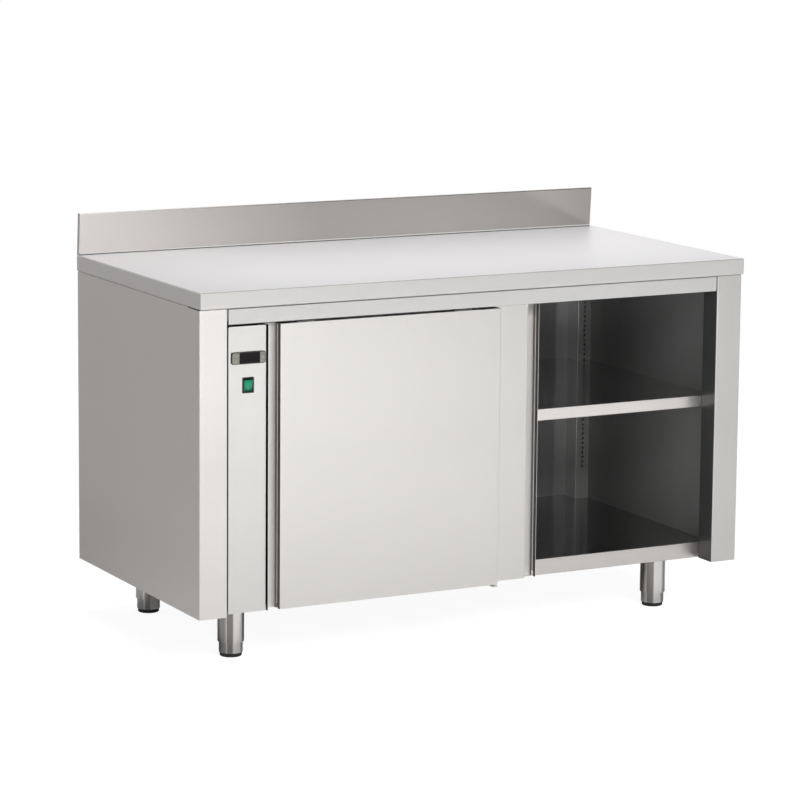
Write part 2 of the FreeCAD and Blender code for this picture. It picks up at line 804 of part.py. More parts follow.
column_low = S.body_bottom + S.column_foot_gap
column_fold = folded_sheet(
    "column_fold", "XY_Plane",
    [(column_left, jamb_back), (column_left, column_front), (column_right, column_front),
     (column_right, jamb_back)],
    S.sheet, (column_low, door_top), 1)
column_tools = []
cut_y = (column_front - S.overrun, column_front + S.overrun)
for name, inner_edge, outer_edge in (
        ("left", column_left + S.column_corner, column_left),
        ("right", column_right - S.column_corner, column_right)):
    span_x = sorted((inner_edge, outer_edge), key=lambda size: size.number)
    corner_block = box(f"column_{name}_block", span_x, cut_y, (door_top - S.column_corner, door_top))
    corner_bar = cylinder(f"column_{name}_bar", "Y", S.column_corner, S.overrun * 2,
                          inner_edge, column_front - S.overrun, door_top - S.column_corner)
    column_tools.append(cut(f"column_{name}_corner", corner_block, corner_bar))
    column_tools.append(box(f"column_{name}_relief", span_x,
                            (column_front + S.overrun, jamb_back + S.overrun),
                            (door_top - S.column_corner, door_top + S.overrun)))


def centred(middle, size):
    """The span of a size laid evenly about a middle."""
    return (middle - size / 2, middle + size / 2)


controller_x = centred(column_centre, S.housing_width + S.fit_gap * 2)
controller_z = centred(controller_height, S.housing_height + S.fit_gap * 2)
column_tools.append(box("controller_cutout", controller_x, cut_y, controller_z))
switch_x = centred(column_centre, S.switch_body_width + S.fit_gap * 2)
switch_z = centred(switch_height, S.switch_body_height + S.fit_gap * 2)
column_tools.append(box("switch_cutout", switch_x, cut_y, switch_z))
node("control_panel", cut("column_cover", column_fold, *column_tools))

housing_back = column_front + S.housing_depth
node("controller_housing", box("controller_case", centred(column_centre, S.housing_width),
                               (column_front, housing_back), centred(controller_height, S.housing_height)))
bezel_front = column_front - S.bezel_depth
bezel_x = centred(column_centre, S.bezel_width)
bezel_z = centred(controller_height, S.bezel_height)
bezel_bars = []
for x in (bezel_x[0] + S.bezel_corner, bezel_x[1] - S.bezel_corner):
    for z in (bezel_z[0] + S.bezel_corner, bezel_z[1] - S.bezel_corner):
        bezel_bars.append(cylinder(f"bezel_corner_{len(bezel_bars)}", "Y", S.bezel_corner, S.bezel_depth,
                                   x, bezel_front, z))
bezel_bars.append(box("bezel_wide", bezel_x, (bezel_front, column_front),
                      (bezel_z[0] + S.bezel_corner, bezel_z[1] - S.bezel_corner)))
bezel_bars.append(box("bezel_tall", (bezel_x[0] + S.bezel_corner, bezel_x[1] - S.bezel_corner),
                      (bezel_front, column_front), bezel_z))
window_centre = column_centre + S.window_shift
window_x = centred(window_centre, S.window_width)
window_z = centred(controller_height, S.window_height)
through_bezel = (bezel_front - S.overrun, column_front + S.overrun)
left_key_centre = (bezel_x[0] + window_x[0]) / 2 + S.fit_gap
right_key_centre = (bezel_x[1] + window_x[1]) / 2 - S.fit_gap
key_places = {
    "key_up": (left_key_centre, controller_height + S.key_offset),
    "key_down": (left_key_centre, controller_height - S.key_offset),
    "key_set": (right_key_centre, controller_height),
}
bezel_tools = [box("window_hole", window_x, through_bezel, window_z)]
for name, (x, z) in key_places.items():
    bezel_tools.append(box(f"{name}_hole", centred(x, S.key_width + S.key_gap * 2), through_bezel,
                           centred(z, S.key_height + S.key_gap * 2)))
    key_front = bezel_front - S.key_proud
    node(name, box(f"{name}_cap", centred(x, S.key_width), (key_front, key_front + S.key_depth),
                   centred(z, S.key_height)))
node("controller_bezel", cut("bezel_frame", fuse("bezel_plate", *bezel_bars), *bezel_tools))
node("controller_window", box("window_lens", window_x, (bezel_front + S.window_recess, column_front),
                              window_z))

switch_front = column_front - S.switch_bezel_depth
switch_plate = box("switch_plate", centred(column_centre, S.switch_bezel_width), (switch_front, column_front),
                   centred(switch_height, S.switch_bezel_height))
switch_body = box("switch_body", centred(column_centre, S.switch_body_width),
                  (switch_front, column_front + S.switch_body_depth),
                  centred(switch_height, S.switch_body_height))
switch_cavity = box("switch_cavity", centred(column_centre, S.switch_cavity_width),
                    (switch_front - S.overrun, switch_front + S.switch_cavity_depth),
                    centred(switch_height, S.switch_cavity_height))
pivot_y = switch_front + S.rocker_pivot_depth
pin_seat = cylinder("rocker_pin_seat", "X", S.rocker_pin_radius + S.running_gap,
                    S.switch_body_width + S.fit_gap,
                    column_centre - (S.switch_body_width + S.fit_gap) / 2, pivot_y, switch_height)
node("switch_housing", cut("switch_case", fuse("switch_block", switch_plate, switch_body),
                           switch_cavity, pin_seat))
rocker_block = closed_outline(
    "rocker_block", "YZ_Plane",
    [(-S.rocker_front, -S.rocker_half_height), (S.rocker_rear, -S.rocker_rear_half),
     (S.rocker_rear, S.rocker_rear_half), (-S.rocker_front, S.rocker_half_height),
     (S.rocker_dip - S.rocker_front, ZERO)],
    (-S.rocker_width / 2, S.rocker_width / 2))
pin_half = S.rocker_width / 2 + S.rocker_pin_reach
rocker_pin = cylinder("rocker_pin", "X", S.rocker_pin_radius, pin_half * 2, -pin_half, ZERO, ZERO)
rocker = node("switch_rocker", fuse("rocker_moulding", rocker_block, rocker_pin))
rocker.Placement = FreeCAD.Placement(
    FreeCAD.Vector(), FreeCAD.Rotation(FreeCAD.Vector(1, 0, 0), ROCKER_TILT_DEGREES))
place(rocker, column_centre, pivot_y, switch_height)

# Partition of the technical compartment, with supply and return air slots

partition_x = (partition_left, partition_right)
partition_plate = box("partition_plate", partition_x, (jamb_back - S.partition_lap, floor_end),
                      (floor_top, tray_bottom))
partition_cut_x = (partition_left - S.overrun, partition_right + S.overrun)
partition_tools = []
for number in range(AIR_SLOTS):
    z = S.fan_height + S.air_slot_pitch * (number - (AIR_SLOTS - 1) / 2)
    partition_tools.append(box(f"supply_slot_{number}", partition_cut_x,
                               centred(S.fan_place, S.air_slot_length), centred(z, S.air_slot_height)))
for number in range(RETURN_SLOTS):
    z = return_slot_height + S.air_slot_pitch * number
    partition_tools.append(box(f"return_slot_{number}", partition_cut_x,
                               centred(shelf_front + S.return_slot_inset, S.air_slot_length),
                               centred(z, S.air_slot_height)))
partition_tools.append(cylinder("probe_hole", "X", S.probe_radius + S.gland_hole_gap, S.overrun * 4,
                                partition_left - S.overrun, S.probe_place, probe_height))

# Shelf: a folded tray upside down, notched round the rear uprights

upright_front = rear_lining_front - S.upright_depth
shelf_x = (partition_right + S.shelf_side_gap, lining_inner - S.shelf_side_gap)
shelf_back = rear_lining_front - S.shelf_side_gap
shelf_fold = folded_sheet(
    "shelf_fold", "YZ_Plane",
    [(shelf_front + S.shelf_lip, shelf_bottom), (shelf_front, shelf_bottom), (shelf_front, shelf_top),
     (shelf_back, shelf_top), (shelf_back, shelf_bottom)],
    S.sheet, shelf_x, -1)
skirt_y = (shelf_front + S.sheet, upright_front - S.shelf_side_gap)
skirt_z = (shelf_bottom, shelf_top - S.sheet)
left_skirt = box("shelf_left_skirt", (shelf_x[0], shelf_x[0] + S.sheet), skirt_y, skirt_z)
right_skirt = box("shelf_right_skirt", (shelf_x[1] - S.sheet, shelf_x[1]), skirt_y, skirt_z)
notch_y = (upright_front - S.shelf_side_gap, shelf_back + S.overrun)
notch_z = (shelf_bottom - S.overrun, shelf_top + S.overrun)
notch_reach = S.upright_width + S.shelf_side_gap
left_notch = box("shelf_left_notch", (partition_right - S.overrun, partition_right + notch_reach),
                 notch_y, notch_z)
right_notch = box("shelf_right_notch", (lining_inner - notch_reach, lining_inner + S.overrun),
                  notch_y, notch_z)
node("shelf", cut("shelf_notched", fuse("shelf_welded", shelf_fold, left_skirt, right_skirt),
                  left_notch, right_notch))

# Slotted uprights in the rear corners, and what the shelf rests on


def upright(name, wall, way):
    """A bent angle in a rear corner, with a row of square slots in its front face."""
    inner_x = wall - S.upright_width * way
    path = [(inner_x, rear_lining_front), (inner_x, upright_front), (wall, upright_front)]
    body = folded_sheet(f"{name}_fold", "XY_Plane", path, S.upright_sheet, (floor_top, tray_bottom), way)
    slot_x = inner_x + S.slot_inset * way
    sketch = body.newObject("Sketcher::SketchObject", f"{name}_slot_sketch")
    plane = next(part for part in body.Origin.OriginFeatures if part.Role == "XY_Plane")
    sketch.AttachmentSupport = [(plane, "")]
    sketch.MapMode = "FlatFace"
    bind(sketch, "AttachmentOffset.Base.z", S.slot_first_height - S.slot_size / 2)
    half = S.slot_size / 2
    slot_y = (upright_front - S.overrun, upright_front + S.overrun)
    corners = [(slot_x - half, slot_y[0]), (slot_x + half, slot_y[0]),
               (slot_x + half, slot_y[1]), (slot_x - half, slot_y[1])]
    points = [FreeCAD.Vector(a.number, b.number, 0) for a, b in corners]
    for index, point in enumerate(points):
        sketch.addGeometry(Part.LineSegment(point, points[(index + 1) % len(points)]))
    for index in range(len(points)):
        following = (index + 1) % len(points)
        sketch.addConstraint(Sketcher.Constraint("Coincident", index, 2, following, 1))
    for index, (a, b) in enumerate(corners):
        for kind, size in (("DistanceX", a), ("DistanceY", b)):
            number = sketch.addConstraint(Sketcher.Constraint(kind, -1, 1, index, 1, size.number))
            bind(sketch, f"Constraints[{number}]", size)
    pocket = body.newObject("PartDesign::Pocket", f"{name}_slot")
    pocket.Profile = sketch
    bind(pocket, "Length", S.slot_size)
    pocket.Reversed = True
    document.recompute()
    row = body.newObject("PartDesign::LinearPattern", f"{name}_slots")
    row.Originals = [pocket]
    row.Direction = (sketch, ["N_Axis"])
    bind(row, "Length", S.slot_pitch * (SLOT_COUNT - 1))
    row.Occurrences = SLOT_COUNT
    body.Tip = row
    document.recompute()
    return node(name, body)


upright("right_upright", lining_inner, 1)
upright("left_upright", partition_right, -1)


def shelf_clip(name, wall, way):
    """A small angle hooked into an upright's slot, under the shelf's side skirt."""
    slot_x = wall + (S.slot_inset - S.upright_width) * way
    clip_x = sorted((wall - S.fit_gap * way, wall - (S.clip_width + S.fit_gap) * way),
                    key=lambda size: size.number)
    block = box(f"{name}_block", clip_x, (upright_front - S.clip_reach, upright_front),
                (clip_top - S.clip_height, clip_top))
    tab = box(f"{name}_tab", centred(slot_x, S.clip_tab),
              (upright_front - S.overrun, upright_front + S.upright_sheet),
              centred(slot_height, S.clip_tab))
    return fuse(name, block, tab)


peg_y = shelf_front + S.peg_inset
peg_z = clip_top - S.peg_radius
peg_parts = [
    cylinder("right_peg", "X", S.peg_radius, S.peg_reach + S.sheet, lining_inner - S.peg_reach, peg_y, peg_z),
    cylinder("left_peg", "X", S.peg_radius, S.peg_reach + S.sheet,
             partition_left, peg_y, peg_z),
]
peg_hole_right = cylinder("right_peg_hole", "X", S.peg_radius, S.overrun * 4,
                          lining_inner - S.overrun, peg_y, peg_z)
peg_hole_left = cylinder("left_peg_hole", "X", S.peg_radius, S.overrun * 4,
                         partition_left - S.overrun, peg_y, peg_z)
node("right_lining", cut("right_lining_drilled", right_lining_plate, peg_hole_right))
partition_tools.append(peg_hole_left)
node("partition", cut("partition_slotted", partition_plate, *partition_tools))
node("shelf_clips", group("shelf_clip_group", shelf_clip("right_clip", lining_inner, 1),
                          shelf_clip("left_clip", partition_right, -1), *peg_parts))

# Circulation fan: square frame with a struted hub and shaft, and a bladed rotor

duct_left = partition_left - S.duct_length
fan_left = duct_left - S.fan_depth
fan_y = centred(S.fan_place, S.fan_square)
fan_z = centred(S.fan_height, S.fan_square)
fan_frame = box("fan_frame", (fan_left, duct_left), fan_y, fan_z)
fan_throat = cylinder("fan_throat", "X", S.fan_bore, S.fan_depth + S.overrun * 2,
                      fan_left - S.overrun, S.fan_place, S.fan_height)
fan_hub = cylinder("fan_hub", "X", S.fan_hub, S.fan_hub_depth, fan_left, S.fan_place, S.fan_height)
fan_shaft = cylinder("fan_shaft", "X", S.fan_shaft, S.fan_hub_depth + S.fan_shaft_reach,
                     fan_left, S.fan_place, S.fan_height)
strut_x = (fan_left, fan_left + S.fan_strut)
strut_reach = S.fan_bore + S.overrun / 2
strut_upright = box("strut_upright", strut_x, centred(S.fan_place, S.fan_strut),
                    (S.fan_height - strut_reach, S.fan_height + strut_reach))
strut_level = box("strut_level", strut_x, (S.fan_place - strut_reach, S.fan_place + strut_reach),
                  centred(S.fan_height, S.fan_strut))
node("fan_motor", fuse("fan_body", cut("fan_ring", fan_frame, fan_throat), fan_hub, fan_shaft,
                       strut_upright, strut_level))

rotor_left = fan_left + S.fan_hub_depth + S.fan_hub_gap
rotor_hub = cylinder("rotor_hub", "X", S.rotor_hub, S.rotor_length, rotor_left, S.fan_place, S.fan_height)
rotor_parts = [rotor_hub]
for number in range(BLADES):
    blade = box(f"blade_{number}", (-S.blade_thickness / 2, S.blade_thickness / 2),
                (-S.blade_chord / 2, S.blade_chord / 2), (S.rotor_hub - S.blade_thickness, S.rotor_radius))
    turned = document.addObject("Part::Compound", f"blade_turned_{number}")
    turned.Links = [blade]
    pitch = FreeCAD.Rotation(FreeCAD.Vector(0, 0, 1), BLADE_PITCH_DEGREES)
    around = FreeCAD.Rotation(FreeCAD.Vector(1, 0, 0), 360.0 * number / BLADES)
    turned.Placement = FreeCAD.Placement(FreeCAD.Vector(), around * pitch)
    place(turned, rotor_left + S.rotor_length / 2, S.fan_place, S.fan_height)
    rotor_parts.append(turned)
rotor_bore = cylinder("rotor_bore", "X", S.fan_shaft + S.running_gap, S.rotor_length + S.overrun * 2,
                      rotor_left - S.overrun, S.fan_place, S.fan_height)
node("fan_rotor", cut("rotor_moulding", fuse("rotor_solid", *rotor_parts), rotor_bore))

# Air duct with the bent sheathed element inside it

element_x = duct_left + S.duct_length / 2
element_low = S.fan_height - S.element_bend * 3
element_high = S.fan_height + S.element_bend * 3
duct_outer = box("duct_outer", (duct_left, partition_left), fan_y, fan_z)
duct_inner = box("duct_inner", (duct_left - S.overrun, partition_left + S.overrun),
                 (fan_y[0] + S.sheet, fan_y[1] - S.sheet), (fan_z[0] + S.sheet, fan_z[1] - S.sheet))
duct_holes = [cylinder(f"duct_hole_{number}", "Y", S.element_radius, S.overrun * 2,
                       element_x, fan_y[1] - S.overrun, z)
              for number, z in enumerate((element_low, element_high))]
node("air_duct", cut("duct_folded", duct_outer, duct_inner, *duct_holes))


def bent_element():
    """The heating element: four level runs joined by half-turn bends."""
    x, z = element_x.number, element_low.number
    bend = S.element_bend.number
    near = S.fan_place.number - S.element_run.number / 2
    far = S.fan_place.number + S.element_run.number / 2
    end = fan_y[1].number + S.element_tail.number
    edges = []
    y_from = end
    for run in range(4):
        inward = run % 2 == 0
        y_to = near if inward else far
        if run == 3:
            y_to = end
        edges.append(Part.makeLine(FreeCAD.Vector(x, y_from, z), FreeCAD.Vector(x, y_to, z)))
        if run < 3:
            swell = -bend if inward else bend
            arc = Part.Arc(FreeCAD.Vector(x, y_to, z), FreeCAD.Vector(x, y_to + swell, z + bend),
                           FreeCAD.Vector(x, y_to, z + 2 * bend))
            edges.append(arc.toShape())
        y_from = y_to
        z += 2 * bend
    profile = Part.Wire(Part.makeCircle(S.element_radius.number, FreeCAD.Vector(x, end, element_low.number),
                                        FreeCAD.Vector(0, 1, 0)))
    return Part.Wire(edges).makePipeShell([profile], True, False)


element = document.addObject("Part::Feature", "element_tube")
element.Shape = bent_element()
node("heating_element", element)

# Temperature probe through the partition

probe_rod = cylinder("probe_rod", "X", S.probe_radius, S.probe_tail + S.probe_reach,
                     partition_right - S.probe_tail, S.probe_place, probe_height)
probe_collar = cylinder("probe_collar", "X", S.probe_collar_radius, S.probe_collar,
                        partition_left - S.probe_collar, S.probe_place, probe_height)
node("temperature_probe", fuse("probe_body", probe_rod, probe_collar))

# Terminal block on the rear panel

terminal_x = (S.terminal_left - side_inner, S.terminal_left - side_inner + S.terminal_length)
terminal_front = rear_panel_front - S.terminal_depth
terminal_middle = S.terminal_base + S.terminal_height / 2
terminal_case = box("terminal_case", terminal_x, (terminal_front, rear_panel_front),
                    (S.terminal_base, S.terminal_base + S.terminal_height))
well_pitch = S.terminal_length / (TERMINAL_WELLS + 1)
wells = [cylinder(f"terminal_well_{number}", "Z", S.terminal_well_radius, S.terminal_well_depth + S.overrun,
                  terminal_x[0] + well_pitch * (number + 1), terminal_front + S.terminal_depth / 2,
                  S.terminal_base + S.terminal_height - S.terminal_well_depth)
         for number in range(TERMINAL_WELLS)]
node("terminal_block", cut("terminal_body", terminal_case, *wells))


def harness_tube():
    """The inner cable bundle: straight runs joined by arcs as large as the runs allow."""
    lead = S.harness_lead.number
    start = FreeCAD.Vector(column_centre.number, housing_back.number, controller_height.number)
    end = FreeCAD.Vector((terminal_x[0].number + terminal_x[1].number) / 2,
                         terminal_front.number, terminal_middle.number)
    way = FreeCAD.Vector(0, 1, 0)
    points = [start, start + way * lead]
    for side_gap, share_back, share_down in HARNESS_ROUTE:
        points.append(FreeCAD.Vector(side_gap - side_inner.number,
                                     start.y + (end.y - start.y) * share_back,
                                     start.z + (end.z - start.z) * share_down))
    points += [end - way * lead, end]
    edges = []
    last = points[0]
    for before, corner, after in zip(points, points[1:], points[2:]):
        way_in = (corner - before).normalize()
        way_out = (after - corner).normalize()
        half_turn = way_in.getAngle(way_out) / 2
        reach = ARC_SHARE * min((corner - before).Length, (after - corner).Length)
        arc_start = corner - way_in * reach
        arc_end = corner + way_out * reach
        radius = reach / math.tan(half_turn)
        inward = (way_out - way_in).normalize()
        arc_middle = corner + inward * (radius / math.cos(half_turn) - radius)
        print("harness arc radius", round(radius, 1))
        edges.append(Part.makeLine(last, arc_start))
        edges.append(Part.Arc(arc_start, arc_middle, arc_end).toShape())
        last = arc_end
    edges.append(Part.makeLine(last, points[-1]))
    route = Part.Wire(edges)
    ring = Part.Wire(Part.makeCircle(S.harness_radius.number, points[0], points[1] - points[0]))
    tube = route.makePipeShell([ring], True, False)
    expected = math.pi * S.harness_radius.number ** 2 * route.Length
    print("harness volume over section times length", round(tube.Volume / expected, 4))
    return tube


harness = document.addObject("Part::Feature", "harness_tube")
harness.Shape = harness_tube()
node("wiring_harness", harness)

# Mains gland: a tube through the insulated floor with a nut above and below

gland_low = S.body_bottom - S.gland_nut_height - S.gland_drop
gland_high = floor_top + S.gland_nut_height
gland_stem = cylinder("gland_stem", "Z", S.gland_tube, gland_high - gland_low + S.fit_gap,
                      gland_x, gland_y, gland_low)
gland_lower = cylinder("gland_lower", "Z", S.gland_nut, S.gland_nut_height,
                       gland_x, gland_y, S.body_bottom - S.gland_nut_height)
gland_upper = cylinder("gland_upper", "Z", S.gland_nut, S.gland_nut_height, gland_x, gland_y, floor_top)
gland_way = cylinder("gland_way", "Z", S.gland_bore, gland_high - gland_low + S.overrun * 2,
                     gland_x, gland_y, gland_low - S.overrun)
node("cable_gland", cut("gland_bored", fuse("gland_solid", gland_stem, gland_lower, gland_upper), gland_way))

# Legs: flanged plates, upper tubes, sliding lower sleeves and floor pads

plates, tubes = [], []
tube_inner = S.leg_radius - S.leg_wall
sleeve_radius = tube_inner - S.sleeve_gap
for corner, (x, y) in leg_places.items():
    plates.append(box(f"{corner}_plate", centred(x, S.leg_plate_width), centred(y, S.leg_plate_width),
                      (plate_bottom, S.body_bottom)))
    tube_outside = cylinder(f"{corner}_tube_outside", "Z", S.leg_radius, plate_bottom - S.leg_bottom,
                            x, y, S.leg_bottom)
    tube_inside = cylinder(f"{corner}_tube_inside", "Z", tube_inner,
                           plate_bottom - S.leg_bottom + S.overrun * 2,
                           x, y, S.leg_bottom - S.overrun)
    tubes.append(cut(f"{corner}_tube", tube_outside, tube_inside))
    sleeve_outside = cylinder(f"{corner}_sleeve_outside", "Z", sleeve_radius, S.sleeve_top - S.pad_height,
                              x, y, S.pad_height)
    sleeve_inside = cylinder(f"{corner}_sleeve_inside", "Z", sleeve_radius - S.sleeve_wall,
                             S.sleeve_top - S.pad_height, x, y, S.pad_height + S.sleeve_floor)
    node(f"{corner}_foot_sleeve", cut(f"{corner}_sleeve", sleeve_outside, sleeve_inside))
    pad_disc = cylinder(f"{corner}_pad_disc", "Z", sleeve_radius - S.pad_inset, S.pad_height - S.pad_chamfer,
                        x, y, S.pad_chamfer)
    pad_base = document.addObject("Part::Cone", f"{corner}_pad_base")
    bind(pad_base, "Radius1", sleeve_radius - S.pad_inset - S.pad_chamfer)
    bind(pad_base, "Radius2", sleeve_radius - S.pad_inset)
    bind(pad_base, "Height", S.pad_chamfer)
    place(pad_base, x, y, ZERO)
    node(f"{corner}_foot_pad", fuse(f"{corner}_pad", pad_disc, pad_base))
node("leg_plates", cut("plates_drilled", group("plate_group", *plates), *leg_screw_holes("plate_hole")))
node("leg_tubes", group("tube_group", *tubes))

# Screws of the leg plates and of the rear panel

screws = []
for number, (x, y) in enumerate(leg_screw_places):
    head = cylinder(f"leg_screw_head_{number}", "Z", S.screw_head_radius, S.screw_head,
                    x, y, plate_bottom - S.screw_head)
    shank = cylinder(f"leg_screw_shank_{number}", "Z", S.screw_radius, S.leg_plate + S.sheet + S.screw_head,
                     x, y, plate_bottom - S.screw_head)
    screws.append(fuse(f"leg_screw_{number}", head, shank))
for sign in (-1, 1):
    for number, z in enumerate(rear_screw_places):
        label = f"rear_screw_{'left' if sign < 0 else 'right'}_{number}"
        head = cylinder(f"{label}_head", "Y", S.rear_screw_head_radius, S.rear_screw_head,
                        rear_screw_column * sign, body_back, z)
        shank = cylinder(f"{label}_shank", "Y", S.rear_screw_radius, S.sheet * 2 + S.rear_screw_head,
                         rear_screw_column * sign, rear_panel_front, z)
        screws.append(fuse(label, head, shank))
node("fixing_screws", group("screw_group", *screws))

# Checks, then one file for each sub-part

document.recompute()
for thing in document.Objects:
    if any(mark in thing.State for mark in ("Invalid", "Error")):
        raise RuntimeError(f"{thing.Name} failed: {thing.State}")
for name, thing in nodes.items():
    if thing.Shape.isNull() or not thing.Shape.isValid() or not thing.Shape.Solids:
        raise RuntimeError(f"{name} has no valid solid")

os.makedirs("parts", exist_ok=True)
for name, thing in nodes.items():
    thing.Shape.exportStep(f"parts/{name}.step")
    box_of = thing.Shape.BoundBox
    print(f"{name}: {len(thing.Shape.Solids)} solids, volume {thing.Shape.Volume:.0f}, "
          f"X {box_of.XMin:.1f} {box_of.XMax:.1f}, Y {box_of.YMin:.1f} {box_of.YMax:.1f}, "
          f"Z {box_of.ZMin:.1f} {box_of.ZMax:.1f}")
print(len(nodes), "sub-parts")
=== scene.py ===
"""Looks of a steel plate warmer cabinet: finishes, screws, seams, controller face, lights and camera."""
import math

import bmesh
import bpy
from mathutils import Matrix, Vector


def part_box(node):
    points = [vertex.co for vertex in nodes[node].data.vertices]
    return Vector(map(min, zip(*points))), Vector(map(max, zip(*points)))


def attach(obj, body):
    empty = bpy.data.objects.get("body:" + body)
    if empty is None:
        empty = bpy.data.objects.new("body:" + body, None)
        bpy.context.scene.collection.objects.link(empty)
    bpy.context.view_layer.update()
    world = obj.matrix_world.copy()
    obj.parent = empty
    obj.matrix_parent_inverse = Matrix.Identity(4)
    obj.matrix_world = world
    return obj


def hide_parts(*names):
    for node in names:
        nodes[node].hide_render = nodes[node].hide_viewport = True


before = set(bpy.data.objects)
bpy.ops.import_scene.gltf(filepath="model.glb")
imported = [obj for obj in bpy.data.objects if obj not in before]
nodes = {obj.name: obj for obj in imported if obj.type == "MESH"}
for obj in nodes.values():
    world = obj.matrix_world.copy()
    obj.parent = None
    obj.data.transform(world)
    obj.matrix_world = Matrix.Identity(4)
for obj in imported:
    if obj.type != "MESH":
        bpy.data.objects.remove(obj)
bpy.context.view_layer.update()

# Camera
# It stands in front and to the left, higher than the worktop and far off, with a long lens.
# The yaw turns it to the right, the pitch tips it down, and the shift sets the photograph's framing.

CAMERA_PLACE = Vector((-3.61121, -6.78178, 1.86728))
CAMERA_YAW = 0.48605
CAMERA_PITCH = 0.15089
CAMERA_ROLL = 0.00868
CAMERA_LENS_MM = 148.80
CAMERA_SHIFT_SHARE = -0.10


def link_object(name, data):
    """A new object linked to the scene, with its mesh, curve, lamp or camera."""
    made = bpy.data.objects.new(name, data)
    bpy.context.scene.collection.objects.link(made)
    return made


forward = Vector((math.sin(CAMERA_YAW) * math.cos(CAMERA_PITCH),
                  math.cos(CAMERA_YAW) * math.cos(CAMERA_PITCH),
                  -math.sin(CAMERA_PITCH)))
level_right = Vector((math.cos(CAMERA_YAW), -math.sin(CAMERA_YAW), 0))
level_up = level_right.cross(forward)
camera_right = math.cos(CAMERA_ROLL) * level_right + math.sin(CAMERA_ROLL) * level_up
camera_up = math.cos(CAMERA_ROLL) * level_up - math.sin(CAMERA_ROLL) * level_right
camera_data = bpy.data.cameras.new("camera")
camera_data.lens = CAMERA_LENS_MM
camera_data.shift_y = CAMERA_SHIFT_SHARE
camera = link_object("camera", camera_data)
camera.matrix_world = Matrix.Translation(CAMERA_PLACE) @ Matrix(
    (camera_right, camera_up, -forward)).transposed().to_4x4()
bpy.context.scene.camera = camera

# Studio
# A pale floor that runs to the horizon in a white room, with a large soft lamp in front and a small one
# above. The lamps light the floor, the doors and the worktop. The steel shows the lit floor, not the lamps.
# The room in front and above is greyer than the room behind, which the upstand shows.

FLOOR_REACH_M = 40.0
FLOOR_COLOUR = (0.93, 0.93, 0.93, 1)
FLOOR_SEEN_COLOUR = (0.25, 0.25, 0.25, 1)
FLOOR_SEEN_GLOW = 0.92
ROOM_LIGHT = 0.31
ROOM_BEHIND = 0.99
ROOM_FRONT_FAR_LEFT = 0.65
ROOM_FRONT_LEFT = 1.8
ROOM_FRONT_RIGHT = 0.08
FAR_LEFT_EDGE = (0.05, 0.30)
LEFT_EDGE = (0.34, 0.43)
BACK_EDGE = (-0.2, 0.2)
LAMP_PLACE = (0.1, -4.4, 2.8)
LAMP_AIM = (0.1, -4.0, 0)
LAMP_SIZES_M = (2.2, 2.2)
LAMP_WATTS = 176.0
TOP_LAMP_PLACE = (0.09, 0.12, 2.2)
TOP_LAMP_SIZES_M = (1.6, 1.1)
TOP_LAMP_SPREAD = math.radians(34)
TOP_LAMP_WATTS = 2.7


def new_material(name):
    """An empty node material, with its tree and the Principled shader in it."""
    material = bpy.data.materials.new(name)
    material.use_nodes = True
    tree = material.node_tree
    return material, tree, tree.nodes["Principled BSDF"]


def feed(tree, slot, value):
    """A number, a colour or another node's output, put into one input."""
    if isinstance(value, bpy.types.NodeSocket):
        tree.links.new(value, slot)
    else:
        slot.default_value = value


def add_node(tree, kind, *inputs, **values):
    """One node, with its first inputs in their order, and its settings and other inputs by name."""
    node = tree.nodes.new(kind)
    settings = {name: value for name, value in values.items() if hasattr(node, name)}
    for name, value in settings.items():
        setattr(node, name, value)
    for slot, value in zip(node.inputs, inputs):
        feed(tree, slot, value)
    for name, value in values.items():
        if name not in settings:
            feed(tree, node.inputs[name.replace("_", " ")], value)
    return node


def arithmetic(tree, operation, first, second):
    """A Math node on two values, each a number or a socket."""
    return add_node(tree, "ShaderNodeMath", first, second, operation=operation).outputs["Value"]


def spread(tree, value, low, high, to_low, to_high, kind="LINEAR"):
    """A value's range from low to high turned into another range, and held at its ends."""
    return add_node(tree, "ShaderNodeMapRange", value, low, high, to_low, to_high,
                    interpolation_type=kind).outputs["Result"]


def mixed_colour(tree, share, first, second):
    """A colour that goes from a first to a second one, each a colour or a socket, as a share rises."""
    blend = add_node(tree, "ShaderNodeMix", data_type="RGBA", Factor=share)
    for slot, colour in zip([slot for slot in blend.inputs if slot.type == "RGBA"], (first, second)):
        feed(tree, slot, colour)
    return next(slot for slot in blend.outputs if slot.type == "RGBA")


floor_mesh = bpy.data.meshes.new("floor")
floor_mesh.from_pydata(
    [(-FLOOR_REACH_M, -FLOOR_REACH_M, 0), (FLOOR_REACH_M, -FLOOR_REACH_M, 0),
     (FLOOR_REACH_M, FLOOR_REACH_M, 0), (-FLOOR_REACH_M, FLOOR_REACH_M, 0)], [], [(0, 1, 2, 3)])
floor = link_object("floor", floor_mesh)
floor_material, floor_tree, floor_shader = new_material("floor_paint")
floor_seen = add_node(floor_tree, "ShaderNodeLightPath").outputs["Is Camera Ray"]
for name, value in (
        ("Base Color", mixed_colour(floor_tree, floor_seen, FLOOR_COLOUR, FLOOR_SEEN_COLOUR)),
        ("Emission Color", (1, 1, 1, 1)),
        ("Emission Strength", arithmetic(floor_tree, "MULTIPLY", floor_seen, FLOOR_SEEN_GLOW)),
        ("Roughness", 1.0),
        ("Specular IOR Level", 0.0)):
    feed(floor_tree, floor_shader.inputs[name], value)
floor.data.materials.append(floor_material)

